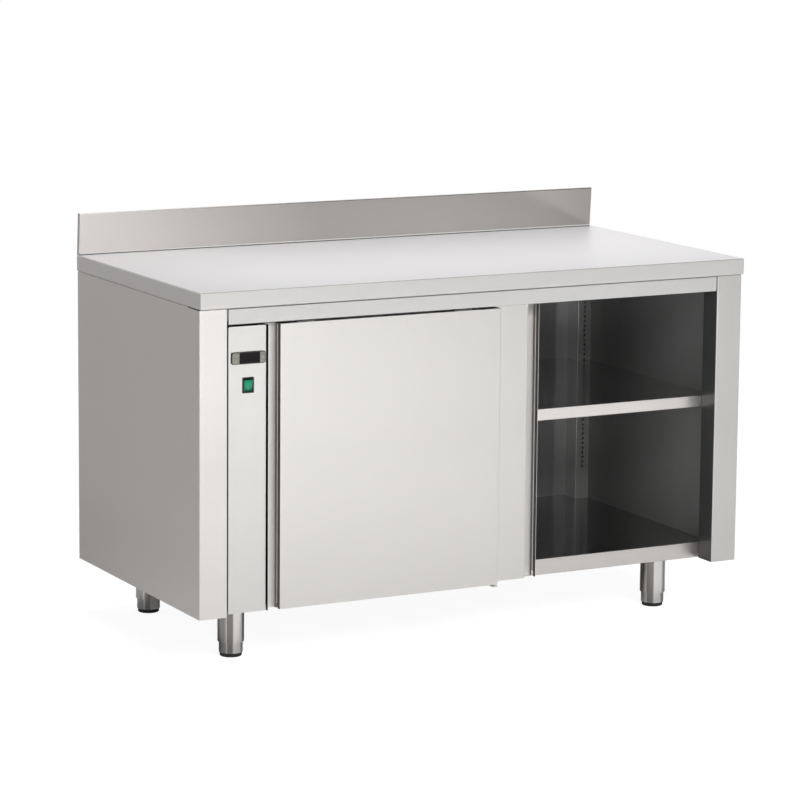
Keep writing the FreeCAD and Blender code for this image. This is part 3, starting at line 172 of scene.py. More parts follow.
world = bpy.data.worlds.new("room")
world.use_nodes = True
room = world.node_tree
room_path = add_node(room, "ShaderNodeLightPath").outputs
room_axes = add_node(room, "ShaderNodeSeparateXYZ",
                     add_node(room, "ShaderNodeTexCoord").outputs["Generated"]).outputs
room_front = spread(room, room_axes["X"], *LEFT_EDGE, ROOM_FRONT_LEFT, ROOM_FRONT_RIGHT, "SMOOTHSTEP")
room_ahead = spread(room, room_axes["X"], *FAR_LEFT_EDGE, ROOM_FRONT_FAR_LEFT, room_front, "SMOOTHSTEP")
room_mirrored = spread(room, room_axes["Y"], *BACK_EDGE, room_ahead, ROOM_BEHIND, "SMOOTHSTEP")
room_lit = spread(room, room_path["Is Glossy Ray"], 0.0, 1.0, ROOM_LIGHT, room_mirrored)
room_seen = spread(room, room_path["Is Camera Ray"], 0.0, 1.0, room_lit, 1.0)
room.links.new(room_seen, room.nodes["Background"].inputs["Strength"])
room.nodes["Background"].inputs["Color"].default_value = (1, 1, 1, 1)
bpy.context.scene.world = world


def soft_lamp(name, place, sizes, watts):
    """A lamp with a flat face, which lights the object but doesn't show in its steel."""
    data = bpy.data.lights.new(name, "AREA")
    data.shape = "RECTANGLE"
    data.size, data.size_y = sizes
    data.energy = watts
    made = link_object(name, data)
    made.location = place
    made.visible_glossy = False
    return made


lamp = soft_lamp("front_lamp", LAMP_PLACE, LAMP_SIZES_M, LAMP_WATTS)
lamp.rotation_euler = (Vector(LAMP_AIM) - lamp.location).to_track_quat("-Z", "Y").to_euler()
top_lamp = soft_lamp("top_lamp", TOP_LAMP_PLACE, TOP_LAMP_SIZES_M, TOP_LAMP_WATTS)
top_lamp.data.spread = TOP_LAMP_SPREAD
top_lamp.visible_camera = False

bpy.context.scene.view_settings.view_transform = "Standard"

# Worktop
# One stainless sheet folded down on its four sides over a board, brushed from left to right.
# Its top has fine brush hairs, wider streaks and slow clouds, as belt grinding and wiping leave them.
# Painted light makes the top lighter towards the back and the front skirt lighter towards the right;
# painted shade darkens the skirt's left end and the top's bends.

HAIRS_PER_M = 1300.0
HAIR_ENDS_PER_M = 7.0
CLOUDS_PER_M = 4.0
STREAK_PART, CLOUD_PART, HAIR_PART = 0.5, 0.3, 0.2
WORKTOP_TONE = (0.83, 0.813, 0.825)
WORKTOP_METAL = 0.3
# Painted light: the top grows lighter from front to back.
WORKTOP_PAINTED_LIGHT_STEPS = ((0.0, 0.95), (0.4, 1.0), (1.0, 1.12))
# Painted shade along the top's rounded bends.
BEND_PAINTED_SHADE = (0.52, 0.50, 0.485)
# Painted light: the front skirt grows lighter from left to right.
SKIRT_PAINTED_LIGHT_STEPS = ((0.0, 0.92), (0.20, 0.93), (0.50, 0.97), (0.90, 1.07), (1.0, 1.08))
SKIRT_TONE = (0.87, 0.855, 0.84)
# Painted shade on the skirt's left end.
SKIRT_END_PAINTED_SHADE = (0.76, 0.735, 0.72)


def new_group(name, kind, inputs, outputs):
    """A node group from its inputs' and outputs' names, types and first values, with its two ends."""
    group = bpy.data.node_groups.new(name, kind)
    for way, sockets in (("INPUT", inputs), ("OUTPUT", outputs)):
        for socket_name, socket_type, value in sockets:
            socket = group.interface.new_socket(socket_name, in_out=way,
                                                socket_type=f"NodeSocket{socket_type}")
            if value is not None:
                socket.default_value = value
    return group, group.nodes.new("NodeGroupInput").outputs, group.nodes.new("NodeGroupOutput").inputs


def object_place(tree):
    """The place on the object, in metres."""
    return add_node(tree, "ShaderNodeTexCoord").outputs["Object"]


def vector_arithmetic(tree, operation, first, second):
    """A Vector Math node on a vector and another vector, or a factor for scaling."""
    node = add_node(tree, "ShaderNodeVectorMath", first, operation=operation)
    feed(tree, node.inputs["Scale" if operation == "SCALE" else 1], second)
    return node.outputs["Vector"]


def build_brushed_grain():
    """Brush lines in three sizes: fine hairs, wider streaks and slow clouds, from Object coordinates."""
    group, enter, leave = new_group(
        "brushed_grain", "ShaderNodeTree",
        [("Stretch", "Vector", None), ("Streak Share", "Float", 0.09),
         ("Cloud Scale", "Float", CLOUDS_PER_M)],
        [("Hair", "Float", None), ("Streak", "Float", None), ("Cloud", "Float", None)])
    hairs = vector_arithmetic(group, "MULTIPLY", object_place(group), enter["Stretch"])
    streaks = vector_arithmetic(group, "SCALE", hairs, enter["Streak Share"])
    clouds = vector_arithmetic(group, "SCALE", object_place(group), enter["Cloud Scale"])
    for name, source, detail in (("Hair", hairs, 2.0), ("Streak", streaks, 3.0), ("Cloud", clouds, 2.0)):
        noise = add_node(group, "ShaderNodeTexNoise", source, Scale=1.0, Detail=detail, Roughness=0.55)
        group.links.new(noise.outputs["Fac"], leave[name])
    return group


brushed_grain = build_brushed_grain()


def colour_steps(tree, value, steps):
    """A colour that runs through steps, each a place from 0 to 1 and a tone, as a value rises."""
    ramp = add_node(tree, "ShaderNodeValToRGB", value)
    elements = ramp.color_ramp.elements
    while len(elements) < len(steps):
        elements.new(0.5)
    for element, (position, tone) in zip(elements, steps):
        element.position = position
        element.color = (*tone, 1)
    return ramp.outputs["Color"]


def two_tones(tree, shader, value, dark, light):
    """The shader's colour, from a dark to a light tone as a value rises."""
    feed(tree, shader.inputs["Base Color"], colour_steps(tree, value, ((0.25, dark), (0.75, light))))


def bump_from(tree, shader, height, strength, distance_mm):
    """A Bump node from a height value to the shader's normal."""
    bump = add_node(tree, "ShaderNodeBump", Strength=strength, Distance=distance_mm / 1000, Height=height)
    tree.links.new(bump.outputs["Normal"], shader.inputs["Normal"])


def brushed_steel(name, along, tone, roughness, change=0.03, gloss_change=0.025, hair_mm=0.02,
                  streak_share=0.09, metal=1.0):
    """Brushed stainless steel, with its lines along X, Y or Z, or round a standing tube."""
    material, tree, shader = new_material(name)
    if along == "round":
        stretch = (HAIR_ENDS_PER_M * 4, HAIR_ENDS_PER_M * 4, HAIRS_PER_M)
    else:
        stretch = [HAIR_ENDS_PER_M if axis == along else HAIRS_PER_M for axis in "XYZ"]
    grain = add_node(tree, "ShaderNodeGroup", node_tree=brushed_grain, Stretch=stretch,
                     Streak_Share=streak_share, Cloud_Scale=CLOUDS_PER_M).outputs
    streak_part = arithmetic(tree, "MULTIPLY", grain["Streak"], STREAK_PART)
    cloud_part = arithmetic(tree, "MULTIPLY", grain["Cloud"], CLOUD_PART)
    hair_part = arithmetic(tree, "MULTIPLY", grain["Hair"], HAIR_PART)
    mixed = arithmetic(tree, "ADD", arithmetic(tree, "ADD", streak_part, cloud_part), hair_part)
    two_tones(tree, shader, mixed, [value * (1 - change) for value in tone],
              [min(value * (1 + change), 1) for value in tone])
    gloss = spread(tree, mixed, 0.25, 0.75, roughness - gloss_change, roughness + gloss_change)
    tree.links.new(gloss, shader.inputs["Roughness"])
    bump_from(tree, shader, grain["Hair"], 0.35, hair_mm)
    shader.inputs["Metallic"].default_value = metal
    return material


def finish(node_name, material):
    """The material of one CAD node."""
    mesh = nodes[node_name].data
    mesh.materials.clear()
    mesh.materials.append(material)


def place_along(tree, axis):
    """The place along one axis of the object, in metres."""
    return add_node(tree, "ShaderNodeSeparateXYZ", object_place(tree)).outputs[axis]


def facing_share(tree, axis, start=-0.3, end=-0.9):
    """How far a face's normal has turned along an axis, from none at the start value to all at the end."""
    normal = add_node(tree, "ShaderNodeTexCoord").outputs["Normal"]
    part = add_node(tree, "ShaderNodeSeparateXYZ", normal).outputs[axis]
    return spread(tree, part, start, end, 0.0, 1.0)


def painted_light_tone(material, share, tone):
    """The material's colour blended to another tone, given as a colour or a socket, by a share: painted
    light and shade.
    """
    tree = material.node_tree
    base = tree.nodes["Principled BSDF"].inputs["Base Color"]
    if isinstance(tone, tuple):
        tone = (*tone, 1)
    feed(tree, base, mixed_colour(tree, share, base.links[0].from_socket, tone))


def painted_light_along(material, share, axis, node_name, tone, steps):
    """Painted light and shade: a tone made lighter and darker in steps along a node, each a place and a
    factor, by a share.
    """
    tree = material.node_tree
    low, high = [corner["XYZ".index(axis)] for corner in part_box(node_name)]
    place = spread(tree, place_along(tree, axis), low, high, 0.0, 1.0)
    tones = [(position, [light * value for value in tone]) for position, light in steps]
    painted_light_tone(material, share, colour_steps(tree, place, tones))


def metal_from(material, share, metal):
    """Bare metal that becomes less of one, down to a part, as a share rises."""
    tree = material.node_tree
    feed(tree, tree.nodes["Principled BSDF"].inputs["Metallic"], spread(tree, share, 0.0, 1.0, 1.0, metal))


worktop_steel = brushed_steel("worktop_steel", "X", WORKTOP_TONE, 0.42, change=0.015, gloss_change=0.02)
worktop_tree = worktop_steel.node_tree
# Painted light on the top, lighter towards the back.
painted_light_along(worktop_steel, 0.85, "Y", "worktop_sheet", WORKTOP_TONE, WORKTOP_PAINTED_LIGHT_STEPS)
# Painted light on the front skirt, lighter towards the right.
painted_light_along(worktop_steel, facing_share(worktop_tree, "Y"), "X", "worktop_sheet", SKIRT_TONE, SKIRT_PAINTED_LIGHT_STEPS)
# Painted shade on the faces of the skirt that face left.
painted_light_tone(worktop_steel, facing_share(worktop_tree, "X"), SKIRT_END_PAINTED_SHADE)
# Painted shade on the bend faces, half way between the top and the folds.
bend_painted_shade_share = arithmetic(worktop_tree, "MULTIPLY", facing_share(worktop_tree, "Z", 0.15, 0.5),
                        facing_share(worktop_tree, "Z", 0.97, 0.75))
painted_light_tone(worktop_steel, bend_painted_shade_share, BEND_PAINTED_SHADE)
metal_from(worktop_steel, facing_share(worktop_tree, "Z", 0.3, 0.9), WORKTOP_METAL)
finish("worktop_sheet", worktop_steel)

# Board under the worktop
# A pressed wood board that stiffens the sheet and deadens its sound, out of sight inside the folds.
# Its cut faces show chips of several browns.

CHIPS_PER_M = 260.0
BOARD_TONES = ((0.22, 0.13, 0.07), (0.50, 0.35, 0.21))

board, board_tree, board_shader = new_material("pressed_board")
board_chips = add_node(board_tree, "ShaderNodeTexVoronoi", object_place(board_tree), Scale=CHIPS_PER_M)
board_value = add_node(board_tree, "ShaderNodeSeparateXYZ", board_chips.outputs["Color"])
two_tones(board_tree, board_shader, board_value.outputs["X"], *BOARD_TONES)
bump_from(board_tree, board_shader, board_chips.outputs["Distance"], 0.5, 0.3)
board_shader.inputs["Roughness"].default_value = 0.85
finish("worktop_core", board)

# Splashback and its seam
# A folded upstand along the back of the worktop, brushed from left to right, a hand high.
# It is welded along its foot, and the weld is ground to a small hollow that catches a thin line of light,
# strengthened by a light tone as painted highlight, with a dark strip of painted shade along its foot.
# Painted light makes the upstand much lighter at its left end and darker towards the right.

SPLASH_TONE = (0.64, 0.613, 0.588)
# Painted light along the upstand, from left to right.
SPLASH_PAINTED_LIGHT_STEPS = ((0.0, 1.48), (0.20, 1.08), (0.32, 0.90), (0.45, 0.74), (0.70, 0.84), (0.90, 0.76),
                (1.0, 0.62))
SPLASH_FRONT_Y = 0.338
SEAM_HOLLOW_M = 0.006
SEAM_BITE_M = 0.0004
# The height of the seam's dark strip of painted shade, then the seam's painted highlight tone and its
# painted shade tone.
SEAM_PAINTED_SHADE_HEIGHT_M = 0.0022
SEAM_PAINTED_HIGHLIGHT_TONE = (0.93, 0.92, 0.90)
SEAM_PAINTED_SHADE_TONE = (0.14, 0.13, 0.125)
SEAM_STEPS = 8

splash_steel = brushed_steel("splash_steel", "X", SPLASH_TONE, 0.18, change=0.07, gloss_change=0.03)
painted_light_along(splash_steel, 0.8, "X", "splashback", SPLASH_TONE, SPLASH_PAINTED_LIGHT_STEPS)
finish("splashback", splash_steel)
splash_low, splash_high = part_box("splashback")
worktop_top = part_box("worktop_sheet")[1][2]
seam_profile = [(SPLASH_FRONT_Y + SEAM_BITE_M, worktop_top - SEAM_BITE_M),
                (SPLASH_FRONT_Y + SEAM_BITE_M, worktop_top + SEAM_HOLLOW_M)]
for step in range(1, SEAM_STEPS):
    turn = math.pi / 2 * step / SEAM_STEPS
    seam_profile.append((SPLASH_FRONT_Y - SEAM_HOLLOW_M + SEAM_HOLLOW_M * math.cos(turn),
                         worktop_top + SEAM_HOLLOW_M - SEAM_HOLLOW_M * math.sin(turn)))
seam_profile.append((SPLASH_FRONT_Y - SEAM_HOLLOW_M, worktop_top - SEAM_BITE_M))


def drawn_bar(name, profile, low_x, high_x):
    """A closed bar along X with a plan of Y and Z points, its faces turned outwards."""
    mesh = bpy.data.meshes.new(name)
    work = bmesh.new()
    ends = [[work.verts.new((x, y, z)) for y, z in profile] for x in (low_x, high_x)]
    work.faces.new(ends[0])
    work.faces.new(ends[1][::-1])
    for index in range(len(profile)):
        following = (index + 1) % len(profile)
        work.faces.new((ends[0][index], ends[1][index], ends[1][following], ends[0][following]))
    bmesh.ops.recalc_face_normals(work, faces=work.faces)
    work.to_mesh(mesh)
    work.free()
    return mesh


seam = link_object("splashback_seam", drawn_bar("splashback_seam", seam_profile,
                                                splash_low[0] + 0.001, splash_high[0] - 0.001))
seam.data.shade_smooth()
seam.data.set_sharp_from_angle(angle=math.radians(40))
# The seam's light tone is a painted highlight.
seam_steel = brushed_steel("seam_steel", "X", SEAM_PAINTED_HIGHLIGHT_TONE, 0.4, metal=0.3)
seam_tree = seam_steel.node_tree
# Painted shade: the seam's lowest strip is dark.
seam_painted_shade_share = spread(seam_tree, place_along(seam_tree, "Z"), worktop_top + SEAM_PAINTED_SHADE_HEIGHT_M,
                   worktop_top + SEAM_PAINTED_SHADE_HEIGHT_M * 0.8, 0.0, 1.0)
painted_light_tone(seam_steel, seam_painted_shade_share, SEAM_PAINTED_SHADE_TONE)
seam.data.materials.append(seam_steel)
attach(seam, "cabinet")

# Side panels with posts and jambs
# Each side is one sheet, bent to make the side, the front post and the jamb that the doors meet.
# They are brushed from top to bottom.
# Painted shade makes the jamb dark all over and darkens it and the left side towards their foot; painted
# light makes the post fronts lighter and darker up their height.

SIDE_TONE = (0.87, 0.848, 0.826)
LEFT_FACE_TONE = (0.875, 0.832, 0.805)
# Painted shade: the jamb that faces the opening is dark.
JAMB_PAINTED_SHADE_TONE = (0.15, 0.15, 0.15)
JAMB_METAL = 0.4
# Painted shade up the sides, then painted light up the left and right post fronts.
SIDE_PAINTED_SHADE_STEPS = ((0.0, 0.78), (0.30, 0.93), (0.55, 0.98), (1.0, 1.0))
LEFT_POST_PAINTED_LIGHT_STEPS = ((0.0, 1.07), (0.25, 1.0), (0.50, 0.905), (0.80, 0.97), (1.0, 1.0))
RIGHT_POST_PAINTED_LIGHT_STEPS = ((0.0, 0.92), (0.25, 0.91), (0.50, 0.88), (0.80, 0.98), (1.0, 1.03))

for side, face_tone_and_painted_shade, face_metal, post_painted_light_steps in (
        ("left", LEFT_FACE_TONE, 1.0, LEFT_POST_PAINTED_LIGHT_STEPS),
        ("right", JAMB_PAINTED_SHADE_TONE, JAMB_METAL, RIGHT_POST_PAINTED_LIGHT_STEPS)):
    side_steel = brushed_steel(f"{side}_side_steel", "Z", SIDE_TONE, 0.33, change=0.015)
    side_tree = side_steel.node_tree
    panel = f"{side}_side_panel"
    # Painted shade on the faces that face left, painted light on the post fronts.
    painted_light_along(side_steel, facing_share(side_tree, "X"), "Z", panel, face_tone_and_painted_shade, SIDE_PAINTED_SHADE_STEPS)
    painted_light_along(side_steel, facing_share(side_tree, "Y"), "Z", panel, SIDE_TONE, post_painted_light_steps)
    metal_from(side_steel, facing_share(side_tree, "X"), face_metal)
    finish(panel, side_steel)

# Front rail
# A folded strip over the doors, brushed from left to right like the edge of the worktop above it.
# Painted light makes it grow a little lighter towards its right end.

RAIL_TONE = (0.82, 0.81, 0.80)
# Painted light: lighter towards the right end.
RAIL_PAINTED_LIGHT_STEPS = ((0.0, 0.84), (0.20, 0.89), (0.50, 0.98), (0.80, 1.12), (1.0, 1.16))

rail_steel = brushed_steel("rail_steel", "X", RAIL_TONE, 0.34, change=0.015)
painted_light_along(rail_steel, 0.9, "X", "top_rail", RAIL_TONE, RAIL_PAINTED_LIGHT_STEPS)
finish("top_rail", rail_steel)

# Rear panel
# The outer back sheet, plain cold-rolled stainless steel, matt and a little cloudy, fixed with screws.
# Its rolling lines run from top to bottom and are very fine.

rear_sheet = brushed_steel("rear_sheet", "Z", (0.62, 0.62, 0.62), 0.42, change=0.05, hair_mm=0.006,
                           streak_share=0.03)
finish("rear_panel", rear_sheet)

# Heated space
# Its back, ceiling and slotted wall are bright-rolled steel that mirrors the dark inside, and painted shade
# darkens the back and the slotted wall towards their foot.
# The right wall is matt and a soft grey, with painted shade that darkens it from the opening towards the
# back.

INNER_TONE = (0.50, 0.50, 0.503)
INNER_METAL = 0.4
# Painted shade: darker towards the foot.
INNER_PAINTED_SHADE_STEPS = ((0.0, 0.80), (0.5, 0.88), (1.0, 1.12))
RIGHT_WALL_TONE = (0.58, 0.575, 0.57)
# Painted shade: darker from the opening towards the back.
RIGHT_WALL_PAINTED_SHADE_STEPS = ((0.0, 0.97), (0.24, 0.93), (0.48, 0.74), (0.62, 0.52), (0.80, 0.38), (1.0, 0.38))

inner_steel = brushed_steel("inner_steel", "Z", INNER_TONE, 0.17, change=0.12, gloss_change=0.03,
                            hair_mm=0.008, metal=INNER_METAL)
# Painted shade up the back and the slotted wall.
painted_light_along(inner_steel, 0.7, "Z", "rear_lining", INNER_TONE, INNER_PAINTED_SHADE_STEPS)
for wall in ("rear_lining", "partition"):
    finish(wall, inner_steel)
matt_steel = brushed_steel("matt_steel", "Z", RIGHT_WALL_TONE, 0.4, change=0.06, metal=INNER_METAL)
# Painted shade along the right wall, darker towards the back.
painted_light_along(matt_steel, 0.9, "Y", "right_lining", RIGHT_WALL_TONE, RIGHT_WALL_PAINTED_SHADE_STEPS)
finish("right_lining", matt_steel)
finish("top_tray", brushed_steel("ceiling_steel", "X", INNER_TONE, 0.2, change=0.12, gloss_change=0.03,
                                 hair_mm=0.008))

# Slotted uprights
# Bent angles in the two rear corners, punched with square slots that the shelf clips hook into.
# Their bends and cut edges carry a painted highlight.

# The painted highlight's tone and the width of its strips.
UPRIGHT_PAINTED_HIGHLIGHT_TONE = (0.95, 0.94, 0.92)
UPRIGHT_PAINTED_HIGHLIGHT_WIDTH_M = 0.0022
UPRIGHT_METAL = 0.5

upright_steel = brushed_steel("upright_steel", "Z", (0.64, 0.635, 0.63), 0.16, change=0.1,
                              gloss_change=0.02, metal=UPRIGHT_METAL)
upright_tree = upright_steel.node_tree
upright_low, upright_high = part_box("right_upright")
# Painted highlight in thin strips along the uprights' edges.
edge_painted_highlight_share = 0.0
for axis, edge, inner, facing_axis in (
        ("X", upright_low[0], upright_low[0] + UPRIGHT_PAINTED_HIGHLIGHT_WIDTH_M, "Y"),
        ("X", upright_high[0], upright_high[0] - UPRIGHT_PAINTED_HIGHLIGHT_WIDTH_M, "Y"),
        ("Y", upright_high[1], upright_high[1] - UPRIGHT_PAINTED_HIGHLIGHT_WIDTH_M * 2, "X")):
    near = spread(upright_tree, place_along(upright_tree, axis), inner, edge, 0.0, 1.0)
    near = arithmetic(upright_tree, "MULTIPLY", near, facing_share(upright_tree, facing_axis))
    edge_painted_highlight_share = arithmetic(upright_tree, "MAXIMUM", edge_painted_highlight_share, near)
painted_light_tone(upright_steel, edge_painted_highlight_share, UPRIGHT_PAINTED_HIGHLIGHT_TONE)
for upright in ("left_upright", "right_upright"):
    finish(upright, upright_steel)

# Heated floor and shelf
# Folded sheets, brushed from left to right, with bright front edges, and tops darkened by painted shade.
# The shelf lifts off its clips and pegs.

EDGE_ROUGHNESS_MORE = 0.25

floor_steel = brushed_steel("floor_steel", "X", (0.80, 0.765, 0.745), 0.1, change=0.04, gloss_change=0.02)
shelf_steel = brushed_steel("shelf_steel", "X", (0.94, 0.912, 0.885), 0.1, change=0.04, gloss_change=0.02)
# Painted shade darkens the tops, the floor pan's more than the shelf's.
for node_name, steel, top_painted_shade_tone in (("floor_pan", floor_steel, (0.40, 0.396, 0.392)),
                                    ("shelf", shelf_steel, (0.68, 0.675, 0.67))):
    tree = steel.node_tree
    painted_light_tone(steel, facing_share(tree, "Z", 0.3, 0.9), top_painted_shade_tone)
    edge_gloss = arithmetic(tree, "MULTIPLY", facing_share(tree, "Y"), EDGE_ROUGHNESS_MORE)
    roughness = tree.nodes["Principled BSDF"].inputs["Roughness"]
    tree.links.new(arithmetic(tree, "ADD", roughness.links[0].from_socket, edge_gloss), roughness)
    finish(node_name, steel)

# Zinc-coated inner pieces
# The underside sheet, the leg plates and the air duct are zinc-coated steel, with its flake pattern.
# The flakes are larger on the underside and the duct, and smaller on the thick leg plates.


def build_zinc_flakes():
    """Flat flakes of zinc in two greys, with a thin border round each."""
    group, enter, leave = new_group(
        "zinc_flakes", "ShaderNodeTree", [("Flakes per Metre", "Float", 90.0)],
        [("Flake", "Float", None), ("Border", "Float", None)])
    place = object_place(group)
    flakes, borders = [add_node(group, "ShaderNodeTexVoronoi", place, feature=feature,
                                Scale=enter["Flakes per Metre"]) for feature in ("F1", "DISTANCE_TO_EDGE")]
    flake = add_node(group, "ShaderNodeSeparateXYZ", flakes.outputs["Color"]).outputs["X"]
    group.links.new(flake, leave["Flake"])
    group.links.new(spread(group, borders.outputs["Distance"], 0.0, 0.08, 0.0, 1.0), leave["Border"])
    return group


zinc_flakes = build_zinc_flakes()


def zinc_coated(name, flakes_per_m, tone, roughness):
    """Zinc-coated steel sheet: flakes of slightly different tone and gloss."""
    material, tree, shader = new_material(name)
    flakes = add_node(tree, "ShaderNodeGroup", node_tree=zinc_flakes,
                      Flakes_per_Metre=flakes_per_m).outputs
    two_tones(tree, shader, flakes["Flake"], [value * 0.82 for value in tone], tone)
    gloss = spread(tree, flakes["Flake"], 0.0, 1.0, roughness - 0.08, roughness + 0.08)
    tree.links.new(gloss, shader.inputs["Roughness"])
    bump_from(tree, shader, flakes["Border"], 0.3, 0.02)
    shader.inputs["Metallic"].default_value = 0.9
    return material


zinc_sheet = zinc_coated("zinc_sheet", 85.0, (0.56, 0.57, 0.58), 0.42)
for sheet in ("underside_panel", "air_duct"):
    finish(sheet, zinc_sheet)
finish("leg_plates", zinc_coated("zinc_plate", 160.0, (0.55, 0.56, 0.57), 0.38))

# Door track, brackets, clips and guide strip
# Rolled and bright zinc-plated steel: finer, bluish, with no flakes to be seen, given a dark tone as
# painted shade where it shows round the doors and the shelf.
# The guide strip under the doors is brushed stainless steel.

# Painted shade: the plated parts are toned dark for the shade they sit in.
plated_steel_painted_shade = brushed_steel("plated_steel_painted_shade", "X", (0.30, 0.305, 0.31), 0.42, change=0.08)
for plated in ("door_track", "front_door_hangers", "rear_door_hangers", "shelf_clips"):
    finish(plated, plated_steel_painted_shade)
finish("bottom_guide", brushed_steel("guide_steel", "X", (0.86, 0.85, 0.84), 0.4, change=0.02))

# Insulation
# Pressed mineral wool boards in the walls, floor, ceiling and doors, out of sight in use.
# Their fibres lie in patches of a dark and a light brown.

FIBRES_PER_M = (900.0, 240.0, 900.0)
WOOL_TONES = ((0.22, 0.19, 0.13), (0.46, 0.42, 0.30))

wool, wool_tree, wool_shader = new_material("mineral_wool")
wool_place = vector_arithmetic(wool_tree, "MULTIPLY", object_place(wool_tree), FIBRES_PER_M)
wool_fibres = add_node(wool_tree, "ShaderNodeTexNoise", wool_place, Scale=1.0, Detail=4.0, Roughness=0.7)
two_tones(wool_tree, wool_shader, wool_fibres.outputs["Fac"], *WOOL_TONES)
bump_from(wool_tree, wool_shader, wool_fibres.outputs["Fac"], 0.6, 0.8)
wool_shader.inputs["Roughness"].default_value = 1.0
for board_name in ("insulation_boards", "front_door_insulation", "rear_door_insulation"):
    finish(board_name, wool)

# Sliding doors
# Each door is a folded skin with a full-height grip channel at one end, closed by a flat liner.
# They are brushed from top to bottom. Painted shade darkens the channel walls that face left,
# with a painted highlight line half way in.
# Painted light makes the door fronts lightest at their foot and darkest just above half their height.

DOOR_TONE = (0.84, 0.82, 0.797)
# Painted light: steps up the door's height.
DOOR_PAINTED_LIGHT_STEPS = ((0.0, 1.05), (0.10, 1.05), (0.55, 0.965), (0.80, 0.985), (1.0, 1.01))
CHANNEL_START_Y = -0.34105
DOOR_SPACING_M = 0.030
# Painted shade across the channel's depth, with a painted highlight line in it.
CHANNEL_PAINTED_SHADE_TONES = ((0.0, (0.055, 0.048, 0.045)), (0.38, (0.075, 0.065, 0.06)), (0.44, (0.95, 0.91, 0.88)),
                 (0.48, (0.95, 0.91, 0.88)), (0.54, (0.17, 0.155, 0.145)), (0.84, (0.20, 0.18, 0.17)))
WEB_METAL = 0.35

door_steel = brushed_steel("door_steel_face", "Z", DOOR_TONE, 0.33, change=0.012)
door_tree = door_steel.node_tree
# Painted light up the door fronts.
painted_light_along(door_steel, 0.9, "Z", "front_door_skin", DOOR_TONE, DOOR_PAINTED_LIGHT_STEPS)
# The depth into each door's channel places the painted shade and highlight on the walls that face left.
channel_depth = arithmetic(door_tree, "SUBTRACT", place_along(door_tree, "Y"), CHANNEL_START_Y)
channel_depth = arithmetic(door_tree, "DIVIDE", channel_depth, DOOR_SPACING_M)
channel_depth = arithmetic(door_tree, "FRACT", channel_depth, 0.0)
painted_light_tone(door_steel, facing_share(door_tree, "X"),
            colour_steps(door_tree, channel_depth, CHANNEL_PAINTED_SHADE_TONES))
web_share = arithmetic(door_tree, "MULTIPLY", facing_share(door_tree, "Y"),
                       spread(door_tree, channel_depth, 0.1, 0.2, 0.0, 1.0))
metal_from(door_steel, web_share, WEB_METAL)
liner_steel = brushed_steel("door_steel_liner", "Z", (0.60, 0.595, 0.585), 0.3, change=0.04)
for door in ("front_door", "rear_door"):
    finish(f"{door}_skin", door_steel)
    finish(f"{door}_liner", liner_steel)

# Control column
# A folded cover with rounded top corners, cut out for the controller and the switch.
# Painted light makes it lightest at its foot and darkest at half its height.

COLUMN_TONE = (0.85, 0.84, 0.82)
# Painted light: steps up the column's height.
COLUMN_PAINTED_LIGHT_STEPS = ((0.0, 1.02), (0.25, 0.96), (0.50, 0.89), (0.80, 0.92), (1.0, 0.93))

column_steel = brushed_steel("column_steel", "Z", COLUMN_TONE, 0.33, change=0.012)
painted_light_along(column_steel, 0.9, "Z", "control_panel", COLUMN_TONE, COLUMN_PAINTED_LIGHT_STEPS)
finish("control_panel", column_steel)

# Moulded plastics behind the column
# The controller's case, the fan's frame and rotor, and the terminal block have a fine moulded grain.
# The wiring runs in a dark grey sheath of the same kind.


def build_moulded_grain():
    """The fine grain of moulded plastic and its slow changes of tone."""
    group, enter, leave = new_group(
        "moulded_grain", "ShaderNodeTree", [("Grains per Metre", "Float", 3000.0)],
        [("Grain", "Float", None), ("Tone", "Float", None)])
    place = object_place(group)
    grain = add_node(group, "ShaderNodeTexNoise", place, Scale=enter["Grains per Metre"], Detail=2.0,
                     Roughness=0.6)
    tone = add_node(group, "ShaderNodeTexNoise", place, Scale=60.0, Detail=3.0)
    group.links.new(grain.outputs["Fac"], leave["Grain"])
    group.links.new(tone.outputs["Fac"], leave["Tone"])
    return group


moulded_grain = build_moulded_grain()


def moulded_plastic(name, tone, roughness, grain_mm=0.02, change=0.12):
    """A moulded plastic or rubber of one colour."""
    material, tree, shader = new_material(name)
    grain = add_node(tree, "ShaderNodeGroup", node_tree=moulded_grain, Grains_per_Metre=3000.0).outputs
    two_tones(tree, shader, grain["Tone"], [value * (1 - change) for value in tone],
              [min(value * (1 + change), 1) for value in tone])
    gloss = spread(tree, grain["Tone"], 0.25, 0.75, max(roughness - 0.06, 0.03), roughness + 0.06)
    tree.links.new(gloss, shader.inputs["Roughness"])
    bump_from(tree, shader, grain["Grain"], 0.5, grain_mm)
    return material


finish("controller_housing", moulded_plastic("case_plastic", (0.03, 0.03, 0.032), 0.5))
finish("fan_motor", moulded_plastic("fan_casing_paint", (0.045, 0.045, 0.05), 0.42))
finish("fan_rotor", moulded_plastic("rotor_plastic", (0.06, 0.06, 0.065), 0.45))
finish("terminal_block", moulded_plastic("terminal_plastic_cream", (0.68, 0.65, 0.56), 0.4))
finish("wiring_harness", moulded_plastic("sheath_plastic", (0.09, 0.09, 0.095), 0.55, change=0.2))

# Heating element and probe
# The element is a bent sheathed tube gone dark with heat, between dark brown and purple-grey.
# The probe is a thin bright rod.

